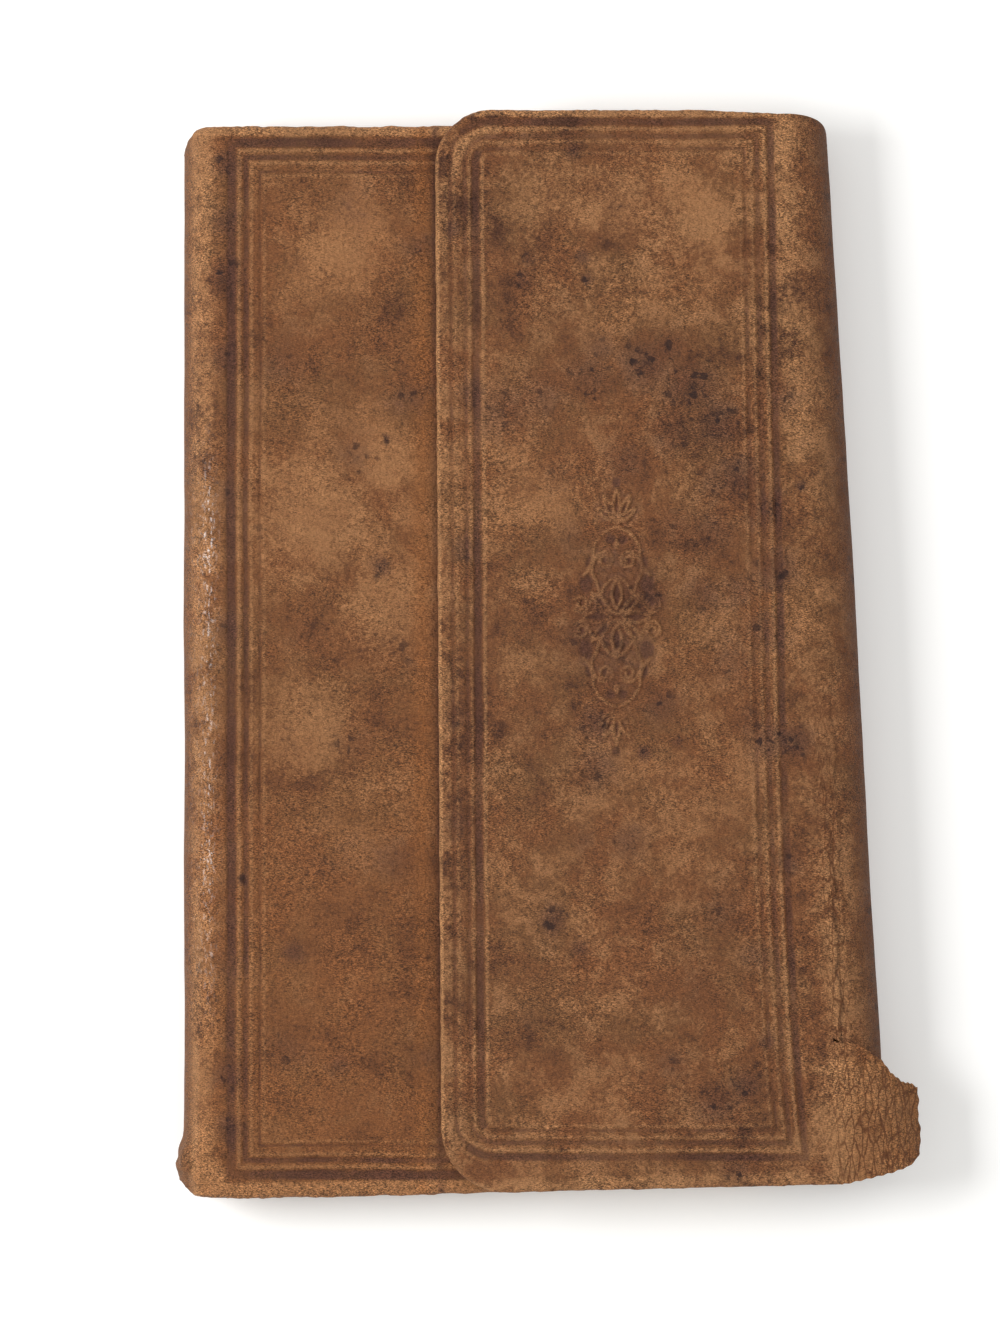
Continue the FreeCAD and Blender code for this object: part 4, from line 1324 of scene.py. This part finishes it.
class WalletBookStage(bpy.types.PropertyGroup):
    """Camera and light."""

    lens: bpy.props.FloatProperty(name="Lens", description="Focal length in millimetres", default=200, min=1)
    height: bpy.props.FloatProperty(
        name="Camera height", description="How far above the book the camera is", default=1.1128, min=0,
        subtype="DISTANCE", unit="LENGTH",
    )
    sky: bpy.props.FloatProperty(name="Sky", description="Strength of the light from all round", default=0.62)
    key: bpy.props.FloatProperty(name="Key", description="Power of the large lamp in watts", default=3.2)
    floor: colour_property("Floor", "Colour of the table", (0.86, 0.86, 0.85))


TABLE_HALF = 1.5
TABLE_GLOW = 0.2  # lifts the table's colour for the camera alone


# Operators

class CaseOperator(bpy.types.Operator):
    """Make the leather of the covers and the spine"""

    bl_idname = "wallet_book.case"
    bl_label = "Covers and spine"

    def execute(self, context):
        case = build_case()
        mark_leather(case)
        dress(case, "aged_leather")
        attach(case, "book")
        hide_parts("case_leather", "front_board", "back_board")
        return {"FINISHED"}


class RollOperator(bpy.types.Operator):
    """Make the soft roll round the fore-edge, in two halves that bend at the folds"""

    bl_idname = "wallet_book.roll"
    bl_label = "Fore-edge roll"

    def execute(self, context):
        lower, upper = build_roll()
        outer = ACROSS * ROLL_RADIUS * MM
        middle = ROLL_MIDDLE * MM
        for piece in (lower, upper):
            mark_leather(piece)
            dress(piece, "aged_leather", "old_paper")
        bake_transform(lower, "book", "fore_edge_wall", start=middle, end=middle + outer)
        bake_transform(upper, "fore_edge_wall", "flap", start=middle + outer, end=middle)
        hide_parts("wall_leather", "wall_lining")
        return {"FINISHED"}


class FlapOperator(bpy.types.Operator):
    """Make the tooled flap and the torn ear beyond its fold"""

    bl_idname = "wallet_book.flap"
    bl_label = "Flap"

    def execute(self, context):
        for piece in (build_flap(), build_ear()):
            mark_leather(piece)
            dress(piece, "aged_leather")
            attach(piece, "flap")
        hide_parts("flap_leather", "flap_card")
        return {"FINISHED"}


class LiningOperator(bpy.types.Operator):
    """Make the paper inside the flap and the back cover"""

    bl_idname = "wallet_book.linings"
    bl_label = "Paper linings"

    def execute(self, context):
        flap_paper = build_flap_lining()
        back_paper = build_back_lining()
        flyleaf = build_back_flyleaf()
        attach(flap_paper, "flap")
        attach(back_paper, "book")
        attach(flyleaf, "book")
        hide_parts("flap_lining")
        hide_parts("back_endpaper")
        for piece in (flap_paper, back_paper, flyleaf):
            dress(piece, "old_paper")
        return {"FINISHED"}


class PagesOperator(bpy.types.Operator):
    """Make the pages"""

    bl_idname = "wallet_book.pages"
    bl_label = "Pages"

    def execute(self, context):
        pages = build_pages()
        dress(pages, "old_paper")
        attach(pages, "book")
        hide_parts("text_block")
        return {"FINISHED"}


class InsideOperator(bpy.types.Operator):
    """Finish the parts that stay as they are: the front endpaper, the spine lining and the tapes"""

    bl_idname = "wallet_book.inside"
    bl_label = "Inside parts"

    def execute(self, context):
        finishes = {"front_endpaper": "old_paper", "spine_lining": "linen"}
        for name, obj in frame["nodes"].items():
            if name.startswith("sewing_tape"):
                finishes[name] = "linen"
        for name, finish in finishes.items():
            dress(frame["nodes"][name], finish)
        return {"FINISHED"}


class StageOperator(bpy.types.Operator):
    """Set the table, the light and the camera"""

    bl_idname = "wallet_book.stage"
    bl_label = "Table, light and camera"

    def execute(self, context):
        settings = context.scene.wallet_book_stage
        bm = bmesh.new()
        bmesh.ops.create_grid(bm, x_segments=1, y_segments=1, size=TABLE_HALF)
        floor = object_from(bm, "table")
        material, shader, n = new_material("table_top", Base_Color=with_alpha(settings.floor), Roughness=0.8)
        seen = n.add("ShaderNodeLightPath").outputs["Is Camera Ray"]
        glow = n.add("ShaderNodeEmission", Color=(1, 1, 1, 1), Strength=n.maths("MULTIPLY", seen, TABLE_GLOW))
        both = n.fill(n.add("ShaderNodeAddShader"), shader.outputs[0], glow.outputs[0])
        n.feed(material.node_tree.nodes["Material Output"].inputs["Surface"], both)
        floor.data.materials.append(material)
        self.light(context, settings)
        self.camera(context, settings)
        return {"FINISHED"}

    def light(self, context, settings):
        """A large soft lamp from the head's left, a weak one across from it, and an even sky."""
        world = bpy.data.worlds.new("studio")
        world.use_nodes = True
        sky = world.node_tree.nodes["Background"].inputs
        sky["Color"].default_value = (1.0, 0.985, 0.96, 1)
        sky["Strength"].default_value = settings.sky
        context.scene.world = world
        for name, place, size, power in (
            ("key", (-0.46, 0.06, 0.46), 0.26, settings.key),
            ("fill", (0.4, 0.3, 0.6), 0.5, settings.key * 0.25),
        ):
            lamp = bpy.data.lights.new(name, "AREA")
            lamp.size = size
            lamp.energy = power
            obj = bpy.data.objects.new(name, lamp)
            obj.location = place
            obj.rotation_euler = (-Vector(place)).to_track_quat("-Z", "Y").to_euler()
            context.scene.collection.objects.link(obj)

    def camera(self, context, settings):
        """Straight down on the cover, as the photograph is taken."""
        lens = bpy.data.cameras.new("camera")
        lens.lens = settings.lens
        lens.sensor_width = 36.0
        camera = bpy.data.objects.new("camera", lens)
        camera.location = (2.4 * MM, -0.6 * MM, settings.height + CLOSED * MM)
        context.scene.collection.objects.link(camera)
        context.scene.camera = camera
        context.scene.view_settings.view_transform = "Standard"


class WalletBookPanel(bpy.types.Panel):
    """The book's settings and its steps"""

    bl_idname = "VIEW3D_PT_wallet_book"
    bl_label = "Wallet Book"
    bl_space_type = "VIEW_3D"
    bl_region_type = "UI"
    bl_category = "Wallet Book"

    def draw(self, context):
        for settings in (context.scene.wallet_book_colours, context.scene.wallet_book_stage):
            for name in settings.__annotations__:
                self.layout.prop(settings, name)
        for operator in OPERATORS:
            self.layout.operator(operator.bl_idname)


OPERATORS = (
    CaseOperator, RollOperator, FlapOperator, LiningOperator, PagesOperator, InsideOperator, StageOperator,
)
CLASSES = (WalletBookColours, WalletBookStage, *OPERATORS, WalletBookPanel)


def register():
    for cls in CLASSES:
        bpy.utils.register_class(cls)
    bpy.types.Scene.wallet_book_colours = bpy.props.PointerProperty(type=WalletBookColours)
    bpy.types.Scene.wallet_book_stage = bpy.props.PointerProperty(type=WalletBookStage)


def unregister():
    del bpy.types.Scene.wallet_book_stage
    del bpy.types.Scene.wallet_book_colours
    for cls in reversed(CLASSES):
        bpy.utils.unregister_class(cls)


def main():
    register()
    bpy.ops.wallet_book.case()
    bpy.ops.wallet_book.roll()
    bpy.ops.wallet_book.flap()
    bpy.ops.wallet_book.linings()
    bpy.ops.wallet_book.pages()
    bpy.ops.wallet_book.inside()
    bpy.ops.wallet_book.stage()


if __name__ == "__main__":
    main()
